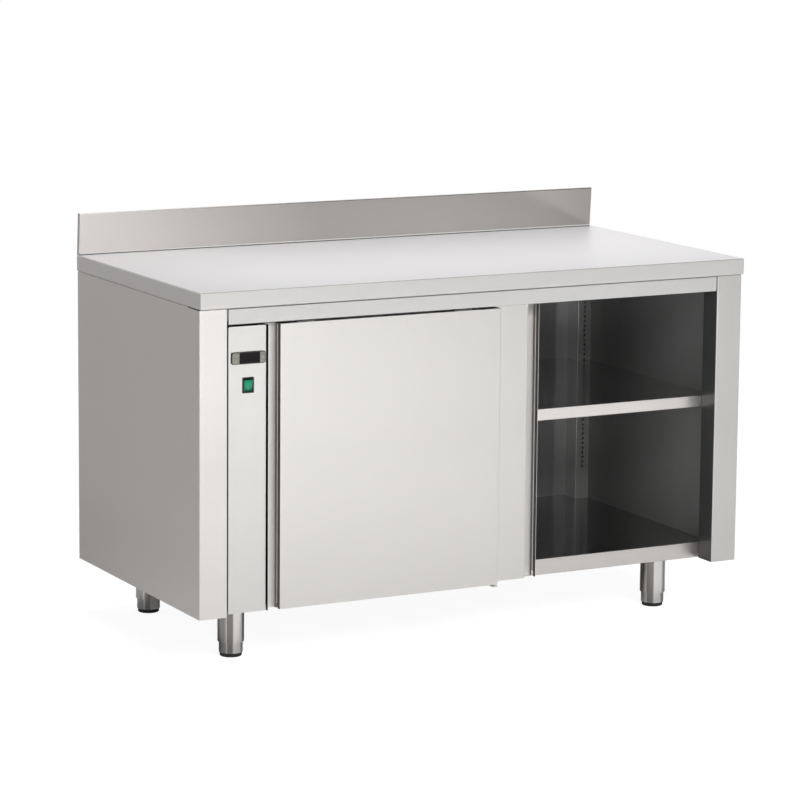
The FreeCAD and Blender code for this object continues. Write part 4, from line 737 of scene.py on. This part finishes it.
element_material, element_tree, element_shader = new_material("heated_tube")
element_grain = add_node(element_tree, "ShaderNodeGroup", node_tree=brushed_grain,
                         Stretch=(200.0, 60.0, 200.0), Streak_Share=0.3, Cloud_Scale=30.0).outputs
two_tones(element_tree, element_shader, element_grain["Cloud"], (0.10, 0.07, 0.06), (0.24, 0.20, 0.22))
element_shader.inputs["Metallic"].default_value = 0.85
element_shader.inputs["Roughness"].default_value = 0.45
bump_from(element_tree, element_shader, element_grain["Hair"], 0.3, 0.05)
finish("heating_element", element_material)
finish("temperature_probe", brushed_steel("probe_steel", "X", (0.72, 0.71, 0.70), 0.25))

# Mains gland
# A black plastic tube through the floor, with a six-sided nut each side and a ribbed cap below.
# The cap's ribs are made as a ring of small bars round its side.

GLAND_CENTRE = (-0.65, 0.29)
GLAND_BORE_M = 0.006
GLAND_TUBE_M = 0.009
GLAND_CAP_M = 0.0084
GLAND_NUT_M = 0.0138
GLAND_NUT_EDGE_M = 0.0012
GLAND_NUT_HEIGHTS = ((0.118, 0.1249), (0.1631, 0.17))
GLAND_TUBE_START_M = 0.010
GLAND_CAP_HEIGHT_M = 0.0115
GLAND_SIDES = 40
NUT_SIDES = 6
NUT_TURN = 0.3
GLAND_RIBS = 18
RIBS_MIDDLE_M = 0.0062
RIB_WIDTH_M, RIB_DEPTH_M, RIB_HEIGHT_M = 0.0012, 0.0011, 0.0095

gland_low, gland_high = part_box("cable_gland")
gland_plastic = moulded_plastic("gland_plastic", (0.022, 0.022, 0.024), 0.45)


def turned_shape(work, outline, sides, centre, turn=0.0):
    """A closed outline of radius and height points carried round a standing axis."""
    rings = []
    for side in range(sides):
        angle = turn + math.tau * side / sides
        rings.append([work.verts.new((centre[0] + radius * math.cos(angle),
                                      centre[1] + radius * math.sin(angle), height))
                      for radius, height in outline])
    for side in range(sides):
        ring, following = rings[side], rings[(side + 1) % sides]
        for index in range(len(outline)):
            after = (index + 1) % len(outline)
            work.faces.new((ring[index], following[index], following[after], ring[after]))


def finished_mesh(name, work, sharp_degrees=35):
    """The work mesh with outward normals, smooth but for its sharp edges."""
    bmesh.ops.recalc_face_normals(work, faces=work.faces)
    mesh = bpy.data.meshes.new(name)
    work.to_mesh(mesh)
    work.free()
    mesh.shade_smooth()
    mesh.set_sharp_from_angle(angle=math.radians(sharp_degrees))
    return mesh


def evaluated_mesh(name, carrier):
    """The plain mesh that an object's curve or modifiers make, in place of the object."""
    evaluated = carrier.evaluated_get(bpy.context.evaluated_depsgraph_get())
    mesh = bpy.data.meshes.new_from_object(evaluated)
    mesh.name = name
    bpy.data.objects.remove(carrier)
    return mesh


def made_mesh(name, start_mesh, tree, inputs):
    """The plain mesh that a Geometry Nodes tree makes from a start mesh, its inputs given by name."""
    carrier = link_object(f"{name}_start", start_mesh)
    modifier = carrier.modifiers.new(tree.name, "NODES")
    modifier.node_group = tree
    for item in tree.interface.items_tree:
        if item.item_type == "SOCKET" and item.in_out == "INPUT" and item.name in inputs:
            modifier[item.identifier] = inputs[item.name]
    return evaluated_mesh(name, carrier)


def end_tree(tree, instances, material, leave):
    """The tree's instances made real and given their material."""
    solid = add_node(tree, "GeometryNodeRealizeInstances", instances)
    painted = add_node(tree, "GeometryNodeSetMaterial", Geometry=solid.outputs["Geometry"],
                       Material=material)
    tree.links.new(painted.outputs["Geometry"], leave["Geometry"])
    return tree


def rib_ring_tree():
    """A ring of upright ribs: count, ring radius, and each rib's width, depth and height."""
    tree, enter, leave = new_group(
        "rib_ring", "GeometryNodeTree",
        [("Geometry", "Geometry", None), ("Count", "Int", GLAND_RIBS),
         ("Ring Radius", "Float", GLAND_CAP_M), ("Rib Width", "Float", RIB_WIDTH_M),
         ("Rib Depth", "Float", RIB_DEPTH_M), ("Rib Height", "Float", RIB_HEIGHT_M),
         ("Centre", "Vector", None), ("Material", "Material", None)],
        [("Geometry", "Geometry", None)])
    ring = add_node(tree, "GeometryNodeCurvePrimitiveCircle", Resolution=enter["Count"],
                    Radius=enter["Ring Radius"])
    points = add_node(tree, "GeometryNodeCurveToPoints", mode="EVALUATED", Curve=ring.outputs["Curve"])
    sizes = add_node(tree, "ShaderNodeCombineXYZ", enter["Rib Depth"], enter["Rib Height"],
                     enter["Rib Width"])
    rib = add_node(tree, "GeometryNodeMeshCube", Size=sizes.outputs["Vector"])
    ribs = add_node(tree, "GeometryNodeInstanceOnPoints", Points=points.outputs["Points"],
                    Instance=rib.outputs["Mesh"], Rotation=points.outputs["Rotation"])
    shift = add_node(tree, "GeometryNodeTransform", Geometry=ribs.outputs["Instances"],
                     Translation=enter["Centre"])
    return end_tree(tree, shift.outputs["Geometry"], enter["Material"], leave)


gland_work = bmesh.new()
tube_low = gland_low[2] + GLAND_TUBE_START_M
cap_top = gland_low[2] + GLAND_CAP_HEIGHT_M
turned_shape(gland_work, [(GLAND_BORE_M, tube_low), (GLAND_TUBE_M, tube_low),
                          (GLAND_TUBE_M, gland_high[2]), (GLAND_BORE_M, gland_high[2])],
             GLAND_SIDES, GLAND_CENTRE)
turned_shape(gland_work, [(GLAND_BORE_M, gland_low[2] + 0.001), (GLAND_BORE_M + 0.001, gland_low[2]),
                          (GLAND_CAP_M - 0.001, gland_low[2]), (GLAND_CAP_M, gland_low[2] + 0.0015),
                          (GLAND_CAP_M, cap_top), (GLAND_BORE_M, cap_top)], GLAND_SIDES, GLAND_CENTRE)
for nut_low, nut_high in GLAND_NUT_HEIGHTS:
    turned_shape(gland_work, [(GLAND_BORE_M + 0.002, nut_low), (GLAND_NUT_M - GLAND_NUT_EDGE_M, nut_low),
                              (GLAND_NUT_M, nut_low + 0.001), (GLAND_NUT_M, nut_high - 0.001),
                              (GLAND_NUT_M - GLAND_NUT_EDGE_M, nut_high),
                              (GLAND_BORE_M + 0.002, nut_high)],
                 NUT_SIDES, GLAND_CENTRE, NUT_TURN)
gland_body = link_object("gland_body", finished_mesh("gland_body", gland_work))
gland_body.data.materials.append(gland_plastic)
gland_ribs = link_object("gland_cap_ribs", made_mesh(
    "gland_cap_ribs", bpy.data.meshes.new("gland_ribs_start"), rib_ring_tree(),
    {"Count": GLAND_RIBS, "Ring Radius": GLAND_CAP_M, "Rib Width": RIB_WIDTH_M, "Rib Depth": RIB_DEPTH_M,
     "Rib Height": RIB_HEIGHT_M, "Centre": (*GLAND_CENTRE, gland_low[2] + RIBS_MIDDLE_M),
     "Material": gland_plastic}))
for part in (gland_body, gland_ribs):
    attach(part, "cabinet")
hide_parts("cable_gland")

# Controller face
# A dark moulded frame clipped over the cut-out, with olive-grey film at both ends of its black window.
# Three small keys stand a little proud of the film, marked up, down and set.

BEZEL_CORNER_M = 0.005
BEZEL_EDGE_M = 0.0006
FILM_SIZE_M = (0.0790, 0.0242)
FILM_CORNER_M = 0.0042
FILM_THICKNESS_M = 0.00025
FILM_LAP_M = 0.0001
FILM_EDGE_M = 0.00005
FILM_TONE = (0.285, 0.275, 0.235)
WINDOW_EDGE_M = 0.0004
KEY_CORNER_M = 0.0016
KEY_GAP_M = 0.0002
KEY_EDGE_M = 0.0005
MARK_PROUD_M = 0.00005
MARK_THICKNESS_M = 0.0003
MARK_EDGE_M = 0.00003
CURVE_STEPS = 7

bezel_low, bezel_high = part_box("controller_bezel")
window_low, window_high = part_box("controller_window")
bezel_middle = ((bezel_low[0] + bezel_high[0]) / 2, (bezel_low[2] + bezel_high[2]) / 2)


def rounded_frame(low, high, corner):
    """The points of a rectangle with round corners, given as two X and Z corners."""
    points = []
    for x, z, start in ((high[0] - corner, high[1] - corner, 0), (low[0] + corner, high[1] - corner, 90),
                        (low[0] + corner, low[1] + corner, 180), (high[0] - corner, low[1] + corner, 270)):
        for step in range(CURVE_STEPS + 1):
            angle = math.radians(start + 90 * step / CURVE_STEPS)
            points.append((x + corner * math.cos(angle), z + corner * math.sin(angle)))
    return points


def box_frame(box, corner, gap=0.0):
    """The rounded outline of a box seen from the front, larger by a gap all round."""
    (left, _, low), (right, _, high) = box
    return rounded_frame((left - gap, low - gap), (right + gap, high + gap), corner)


def front_plate(name, outlines, front, thickness, edge):
    """A flat moulding with holes that faces the front, from X and Z outlines, with rounded edges."""
    curve = bpy.data.curves.new(name, "CURVE")
    curve.dimensions = "2D"
    curve.fill_mode = "BOTH"
    curve.extrude = thickness / 2 - edge
    curve.bevel_depth = edge
    curve.bevel_resolution = 2
    curve.offset = -edge
    for outline in outlines:
        spline = curve.splines.new("POLY")
        spline.points.add(len(outline) - 1)
        for point, (x, z) in zip(spline.points, outline):
            point.co = (x, z, 0, 1)
        spline.use_cyclic_u = True
    mesh = evaluated_mesh(name, link_object(name, curve))
    work = bmesh.new()
    work.from_mesh(mesh)
    bpy.data.meshes.remove(mesh)
    bmesh.ops.remove_doubles(work, verts=work.verts, dist=0.000002)
    for vertex in work.verts:
        x, z, out = vertex.co
        vertex.co = (x, front + thickness / 2 - out, z)
    return finished_mesh(name, work, 50)


key_boxes = {name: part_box(name) for name in ("key_up", "key_down", "key_set")}
key_holes = [box_frame(box, KEY_CORNER_M, KEY_GAP_M) for box in key_boxes.values()]
window_hole = [(window_low[0], window_low[2]), (window_high[0], window_low[2]),
               (window_high[0], window_high[2]), (window_low[0], window_high[2])]
bezel_outline = box_frame((bezel_low, bezel_high), BEZEL_CORNER_M)
bezel = link_object("controller_frame", front_plate(
    "controller_frame", [bezel_outline, window_hole, *key_holes], bezel_low[1],
    bezel_high[1] - bezel_low[1], BEZEL_EDGE_M))
bezel.data.materials.append(moulded_plastic("bezel_plastic", (0.03, 0.027, 0.025), 0.38))
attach(bezel, "cabinet")
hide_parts("controller_bezel")

film_low = (bezel_middle[0] - FILM_SIZE_M[0] / 2, bezel_middle[1] - FILM_SIZE_M[1] / 2)
film_high = (bezel_middle[0] + FILM_SIZE_M[0] / 2, bezel_middle[1] + FILM_SIZE_M[1] / 2)
film_plastic = moulded_plastic("film_plastic", FILM_TONE, 0.42, change=0.1)
film_whole = rounded_frame(film_low, film_high, FILM_CORNER_M)
left_edge = window_low[0] - WINDOW_EDGE_M
right_edge = window_high[0] + WINDOW_EDGE_M
left_film = [(x, z) for x, z in film_whole if x < left_edge]
left_film += [(left_edge, film_low[1]), (left_edge, film_high[1])]
right_film = [(x, z) for x, z in film_whole if x > right_edge]
half = len(right_film) // 2
right_film[half:half] = [(right_edge, film_high[1]), (right_edge, film_low[1])]
for name, outline, holes in (("left_face_film", left_film, key_holes[:2]),
                             ("right_face_film", right_film, key_holes[2:])):
    film = link_object(name, front_plate(name, [outline, *holes], bezel_low[1] - FILM_THICKNESS_M,
                                         FILM_THICKNESS_M + FILM_LAP_M, FILM_EDGE_M))
    film.data.materials.append(film_plastic)
    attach(film, "cabinet")

window_plastic = moulded_plastic("window_plastic", (0.010, 0.008, 0.009), 0.2, grain_mm=0.001)
window_plastic.node_tree.nodes["Principled BSDF"].inputs["Specular IOR Level"].default_value = 0.12
finish("controller_window", window_plastic)

key_film = moulded_plastic("key_film", (0.32, 0.31, 0.27), 0.45)
mark_ink = moulded_plastic("mark_ink", (0.43, 0.42, 0.37), 0.5)
key_marks = {"key_up": [(-0.0016, -0.0011), (0.0016, -0.0011), (0, 0.0015)],
             "key_down": [(-0.0016, 0.0011), (0, -0.0015), (0.0016, 0.0011)],
             "key_set": [(-0.0013, -0.0013), (0.0013, -0.0013), (0.0013, 0.0013), (-0.0013, 0.0013)]}
for name, (low, high) in key_boxes.items():
    cap = front_plate(f"{name}_cap", [box_frame((low, high), KEY_CORNER_M)], low[1], high[1] - low[1],
                      KEY_EDGE_M)
    cap.materials.append(key_film)
    cap.materials.append(mark_ink)
    middle = ((low[0] + high[0]) / 2, (low[2] + high[2]) / 2)
    mark = front_plate(f"{name}_mark", [[(middle[0] + x, middle[1] + z) for x, z in key_marks[name]]],
                       low[1] - MARK_PROUD_M, MARK_THICKNESS_M, MARK_EDGE_M)
    work = bmesh.new()
    work.from_mesh(cap)
    cap_faces = len(work.faces)
    work.from_mesh(mark)
    work.faces.ensure_lookup_table()
    for face in work.faces[cap_faces:]:
        face.material_index = 1
    work.to_mesh(cap)
    work.free()
    bpy.data.meshes.remove(mark)
    key = link_object(f"{name}_cap", cap)
    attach(key, name)
    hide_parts(name)

# Rocker switch
# A black moulded case clipped into the column, and a green rocker that lights up, with rounded edges.
# The rocker turns on two pins, and a small pale ring marks its lower end.

RING_OUTER_M = 0.0019
RING_INNER_M = 0.0012
RING_SIDES = 24
RING_PROUD_M = 0.0001
ROCKER_PIVOT = (-0.581, -0.334, 0.6395)
ROCKER_REST_DEGREES = 9.0
FACE_LEAN_DEGREES = 4.3
RING_PLACE = (0, -0.00776, -0.0074)

finish("switch_housing", moulded_plastic("switch_case_plastic", (0.022, 0.018, 0.017), 0.35))
rocker_plastic = moulded_plastic("rocker_plastic", (0.012, 0.30, 0.165), 0.4, grain_mm=0.004, change=0.15)
rocker_plastic.node_tree.nodes["Principled BSDF"].inputs["Coat Weight"].default_value = 0.1
rocker_work = bmesh.new()
rocker_work.from_mesh(nodes["switch_rocker"].data)
bmesh.ops.remove_doubles(rocker_work, verts=rocker_work.verts, dist=0.000002)
bmesh.ops.dissolve_limit(rocker_work, angle_limit=math.radians(1), verts=rocker_work.verts,
                         edges=rocker_work.edges)
block_edges = [edge for edge in rocker_work.edges if edge.is_manifold
               and edge.calc_face_angle() > math.radians(30) and edge.calc_length() > 0.006]
bmesh.ops.bevel(rocker_work, geom=block_edges, offset=0.0008, segments=3, affect="EDGES",
                clamp_overlap=True)
rocker = link_object("green_rocker", finished_mesh("green_rocker", rocker_work, 50))
rocker.data.materials.append(rocker_plastic)
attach(rocker, "switch_rocker")
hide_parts("switch_rocker")

ring_mesh = front_plate("rocker_ring", [
    [(radius * math.cos(math.tau * step / RING_SIDES), radius * math.sin(math.tau * step / RING_SIDES))
     for step in range(RING_SIDES)] for radius in (RING_OUTER_M, RING_INNER_M)],
    -RING_PROUD_M, MARK_THICKNESS_M, MARK_EDGE_M)
lean = Matrix.Rotation(math.radians(FACE_LEAN_DEGREES), 4, "X")
rest = Matrix.Rotation(math.radians(ROCKER_REST_DEGREES), 4, "X")
ring_mesh.transform(Matrix.Translation(ROCKER_PIVOT) @ rest @ Matrix.Translation(RING_PLACE) @ lean)
ring = link_object("rocker_ring", ring_mesh)
ring.data.materials.append(moulded_plastic("ring_ink", (0.55, 0.72, 0.62), 0.4))
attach(ring, "switch_rocker")

# Door rollers
# Pale nylon wheels that run on the lips of the track.
# All four pairs share one plain finish.

roller_nylon = moulded_plastic("roller_nylon_white", (0.78, 0.77, 0.73), 0.4)
for door in ("front_door", "rear_door"):
    for side in ("left", "right"):
        finish(f"{door}_roller_{side}", roller_nylon)

# Legs and feet
# Round stainless tubes, drawn and polished from end to end, each with a narrower sleeve below.
# A black pad of hard rubber closes the foot of each sleeve.
# Painted reflections lie on the tubes and sleeves as upright light and dark bands.

# Painted reflections: the bands round a tube, their turn on the right legs, and the painted light that
# lifts the rear legs.
TUBE_PAINTED_REFLECTION_BANDS = ((0.0, 0.36), (0.10, 0.36), (0.155, 0.80), (0.175, 0.33), (0.35, 0.32), (0.40, 1.0),
              (0.70, 0.96), (0.80, 0.34), (0.86, 0.25), (1.0, 0.50))
RIGHT_TUBES_REFLECTION_TURN = 0.10
REAR_TUBES_PAINTED_LIGHT = 1.7
TUBE_LIGHTEST = (0.95, 0.91, 0.88)


def with_painted_reflections(material):
    """Polished tube steel with painted reflections: lighter and darker upright bands by the way its side
    faces, turned a little on the right legs, with painted light that lifts the rear legs.
    """
    tree = material.node_tree
    base = tree.nodes["Principled BSDF"].inputs["Base Color"]
    turned = arithmetic(tree, "ADD", facing_share(tree, "X", -1.0, 1.0),
                        spread(tree, place_along(tree, "X"), -0.1, 0.1, 0.0, RIGHT_TUBES_REFLECTION_TURN))
    bands = colour_steps(tree, turned,
                         [(position, (light, light, light)) for position, light in TUBE_PAINTED_REFLECTION_BANDS])
    tone = vector_arithmetic(tree, "MULTIPLY", base.links[0].from_socket, bands)
    more = spread(tree, place_along(tree, "Y"), -0.1, 0.1, 1.0, REAR_TUBES_PAINTED_LIGHT)
    tone = vector_arithmetic(tree, "SCALE", tone, more)
    tree.links.new(vector_arithmetic(tree, "MINIMUM", tone, TUBE_LIGHTEST), base)
    return material


leg_steel = with_painted_reflections(brushed_steel("leg_steel", "Z", (0.93, 0.885, 0.855), 0.16, change=0.08,
                                 streak_share=0.06))
finish("leg_tubes", leg_steel)
sleeve_steel = with_painted_reflections(brushed_steel("sleeve_steel", "Z", (0.89, 0.865, 0.84), 0.14, change=0.08,
                                    streak_share=0.06))
pad_rubber = moulded_plastic("pad_rubber_black", (0.018, 0.018, 0.019), 0.6, grain_mm=0.03)
LEG_CORNERS = ("front_left", "front_right", "rear_left", "rear_right")
for corner in LEG_CORNERS:
    finish(f"{corner}_foot_sleeve", sleeve_steel)
    finish(f"{corner}_foot_pad", pad_rubber)

# Fixing screws
# Cross-recessed steel screws: four under each leg plate, and five down each edge of the rear panel.
# One tree makes them all, from points where the screws stand.


def screw_tree():
    """Screws on points: a domed head with a cross recess and a shank, turned to face their way."""
    tree, enter, leave = new_group(
        "cross_screws", "GeometryNodeTree",
        [("Geometry", "Geometry", None), *((name, "Float", 0.003) for name in (
            "Head Radius", "Head Height", "Shank Radius", "Shank Length", "Recess Width", "Recess Depth")),
         ("Facing", "Vector", None), ("Material", "Material", None)],
        [("Geometry", "Geometry", None)])

    def moved(geometry, height):
        """Geometry raised along the screw by a height socket."""
        offset = add_node(tree, "ShaderNodeCombineXYZ", Z=height).outputs["Vector"]
        raised = add_node(tree, "GeometryNodeTransform", Geometry=geometry, Translation=offset)
        return raised.outputs["Geometry"]

    def times(name, factor):
        """One of the tree's sizes times a factor."""
        return arithmetic(tree, "MULTIPLY", enter[name], factor)

    brim_height = times("Head Height", 0.45)
    brim_radius = times("Head Radius", 0.94)
    dome_radius = times("Head Radius", 0.72)
    brim = add_node(tree, "GeometryNodeMeshCone", Vertices=28, Radius_Top=brim_radius,
                    Radius_Bottom=enter["Head Radius"], Depth=brim_height)
    dome = add_node(tree, "GeometryNodeMeshCone", Vertices=28, Radius_Top=dome_radius,
                    Radius_Bottom=brim_radius,
                    Depth=arithmetic(tree, "SUBTRACT", enter["Head Height"], brim_height))
    head = add_node(tree, "GeometryNodeJoinGeometry")
    tree.links.new(brim.outputs["Mesh"], head.inputs["Geometry"])
    tree.links.new(moved(dome.outputs["Mesh"], brim_height), head.inputs["Geometry"])
    welded = add_node(tree, "GeometryNodeMergeByDistance", Geometry=head.outputs["Geometry"])
    recess_low = arithmetic(tree, "SUBTRACT", enter["Head Height"], enter["Recess Depth"])
    recess_length = arithmetic(tree, "MULTIPLY", dome_radius, 1.25)
    recess_height = times("Recess Depth", 4.0)
    recess_middle = arithmetic(tree, "ADD", recess_low, arithmetic(tree, "MULTIPLY", recess_height, 0.5))
    cutter = add_node(tree, "GeometryNodeMeshBoolean", operation="DIFFERENCE")
    tree.links.new(welded.outputs["Geometry"], cutter.inputs["Mesh 1"])
    for sides in ((recess_length, enter["Recess Width"]), (enter["Recess Width"], recess_length)):
        sizes = add_node(tree, "ShaderNodeCombineXYZ", *sides, recess_height)
        bar = add_node(tree, "GeometryNodeMeshCube", Size=sizes.outputs["Vector"])
        tree.links.new(moved(bar.outputs["Mesh"], recess_middle), cutter.inputs["Mesh 2"])
    shank = add_node(tree, "GeometryNodeMeshCylinder", Vertices=20, Radius=enter["Shank Radius"],
                     Depth=enter["Shank Length"])
    screw = add_node(tree, "GeometryNodeJoinGeometry")
    tree.links.new(cutter.outputs["Mesh"], screw.inputs["Geometry"])
    tree.links.new(moved(shank.outputs["Mesh"], times("Shank Length", -0.5)), screw.inputs["Geometry"])
    facing = add_node(tree, "FunctionNodeEulerToRotation", enter["Facing"])
    placed = add_node(tree, "GeometryNodeInstanceOnPoints", Points=enter["Geometry"],
                      Instance=screw.outputs["Geometry"], Rotation=facing.outputs["Rotation"])
    return end_tree(tree, placed.outputs["Instances"], enter["Material"], leave)


LEG_SCREW_REACH_M = 0.033
PLATE_BOTTOM_M = 0.122
REAR_PANEL_BACK_M = 0.348
REAR_SCREW_LOW_M = 0.185
REAR_SCREW_HEAD_M = 0.0036

screw_steel = brushed_steel("screw_steel_bright", "round", (0.60, 0.60, 0.61), 0.28, change=0.08)
screws = screw_tree()
leg_points = bpy.data.meshes.new("leg_screw_points")
leg_points.from_pydata(
    [((low[0] + high[0]) / 2 + LEG_SCREW_REACH_M * across,
      (low[1] + high[1]) / 2 + LEG_SCREW_REACH_M * along, PLATE_BOTTOM_M)
     for low, high in (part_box(f"{corner}_foot_sleeve") for corner in LEG_CORNERS)
     for across in (-1, 1) for along in (-1, 1)], [], [])
screw_x, rear_top = [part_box("fixing_screws")[1][index] - REAR_SCREW_HEAD_M for index in (0, 2)]
rear_points = bpy.data.meshes.new("rear_screw_points")
rear_points.from_pydata(
    [(screw_x * side, REAR_PANEL_BACK_M, REAR_SCREW_LOW_M + (rear_top - REAR_SCREW_LOW_M) * number / 4)
     for side in (-1, 1) for number in range(5)], [], [])
screw_work = bmesh.new()
for name, points, sizes in (
        ("leg_screws", leg_points,
         {"Head Radius": 0.0055, "Head Height": 0.0036, "Shank Radius": 0.003, "Shank Length": 0.0038,
          "Recess Width": 0.0013, "Recess Depth": 0.0018, "Facing": (math.pi, 0, 0)}),
        ("rear_screws", rear_points,
         {"Head Radius": REAR_SCREW_HEAD_M, "Head Height": 0.0016, "Shank Radius": 0.0018,
          "Shank Length": 0.0018, "Recess Width": 0.0009, "Recess Depth": 0.0009,
          "Facing": (-math.pi / 2, 0, 0)})):
    part = made_mesh(name, points, screws, {**sizes, "Material": screw_steel})
    screw_work.from_mesh(part)
    bpy.data.meshes.remove(part)
fasteners = link_object("cross_screws", finished_mesh("cross_screws", screw_work, 30))
fasteners.data.materials.append(screw_steel)
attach(fasteners, "cabinet")
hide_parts("fixing_screws")
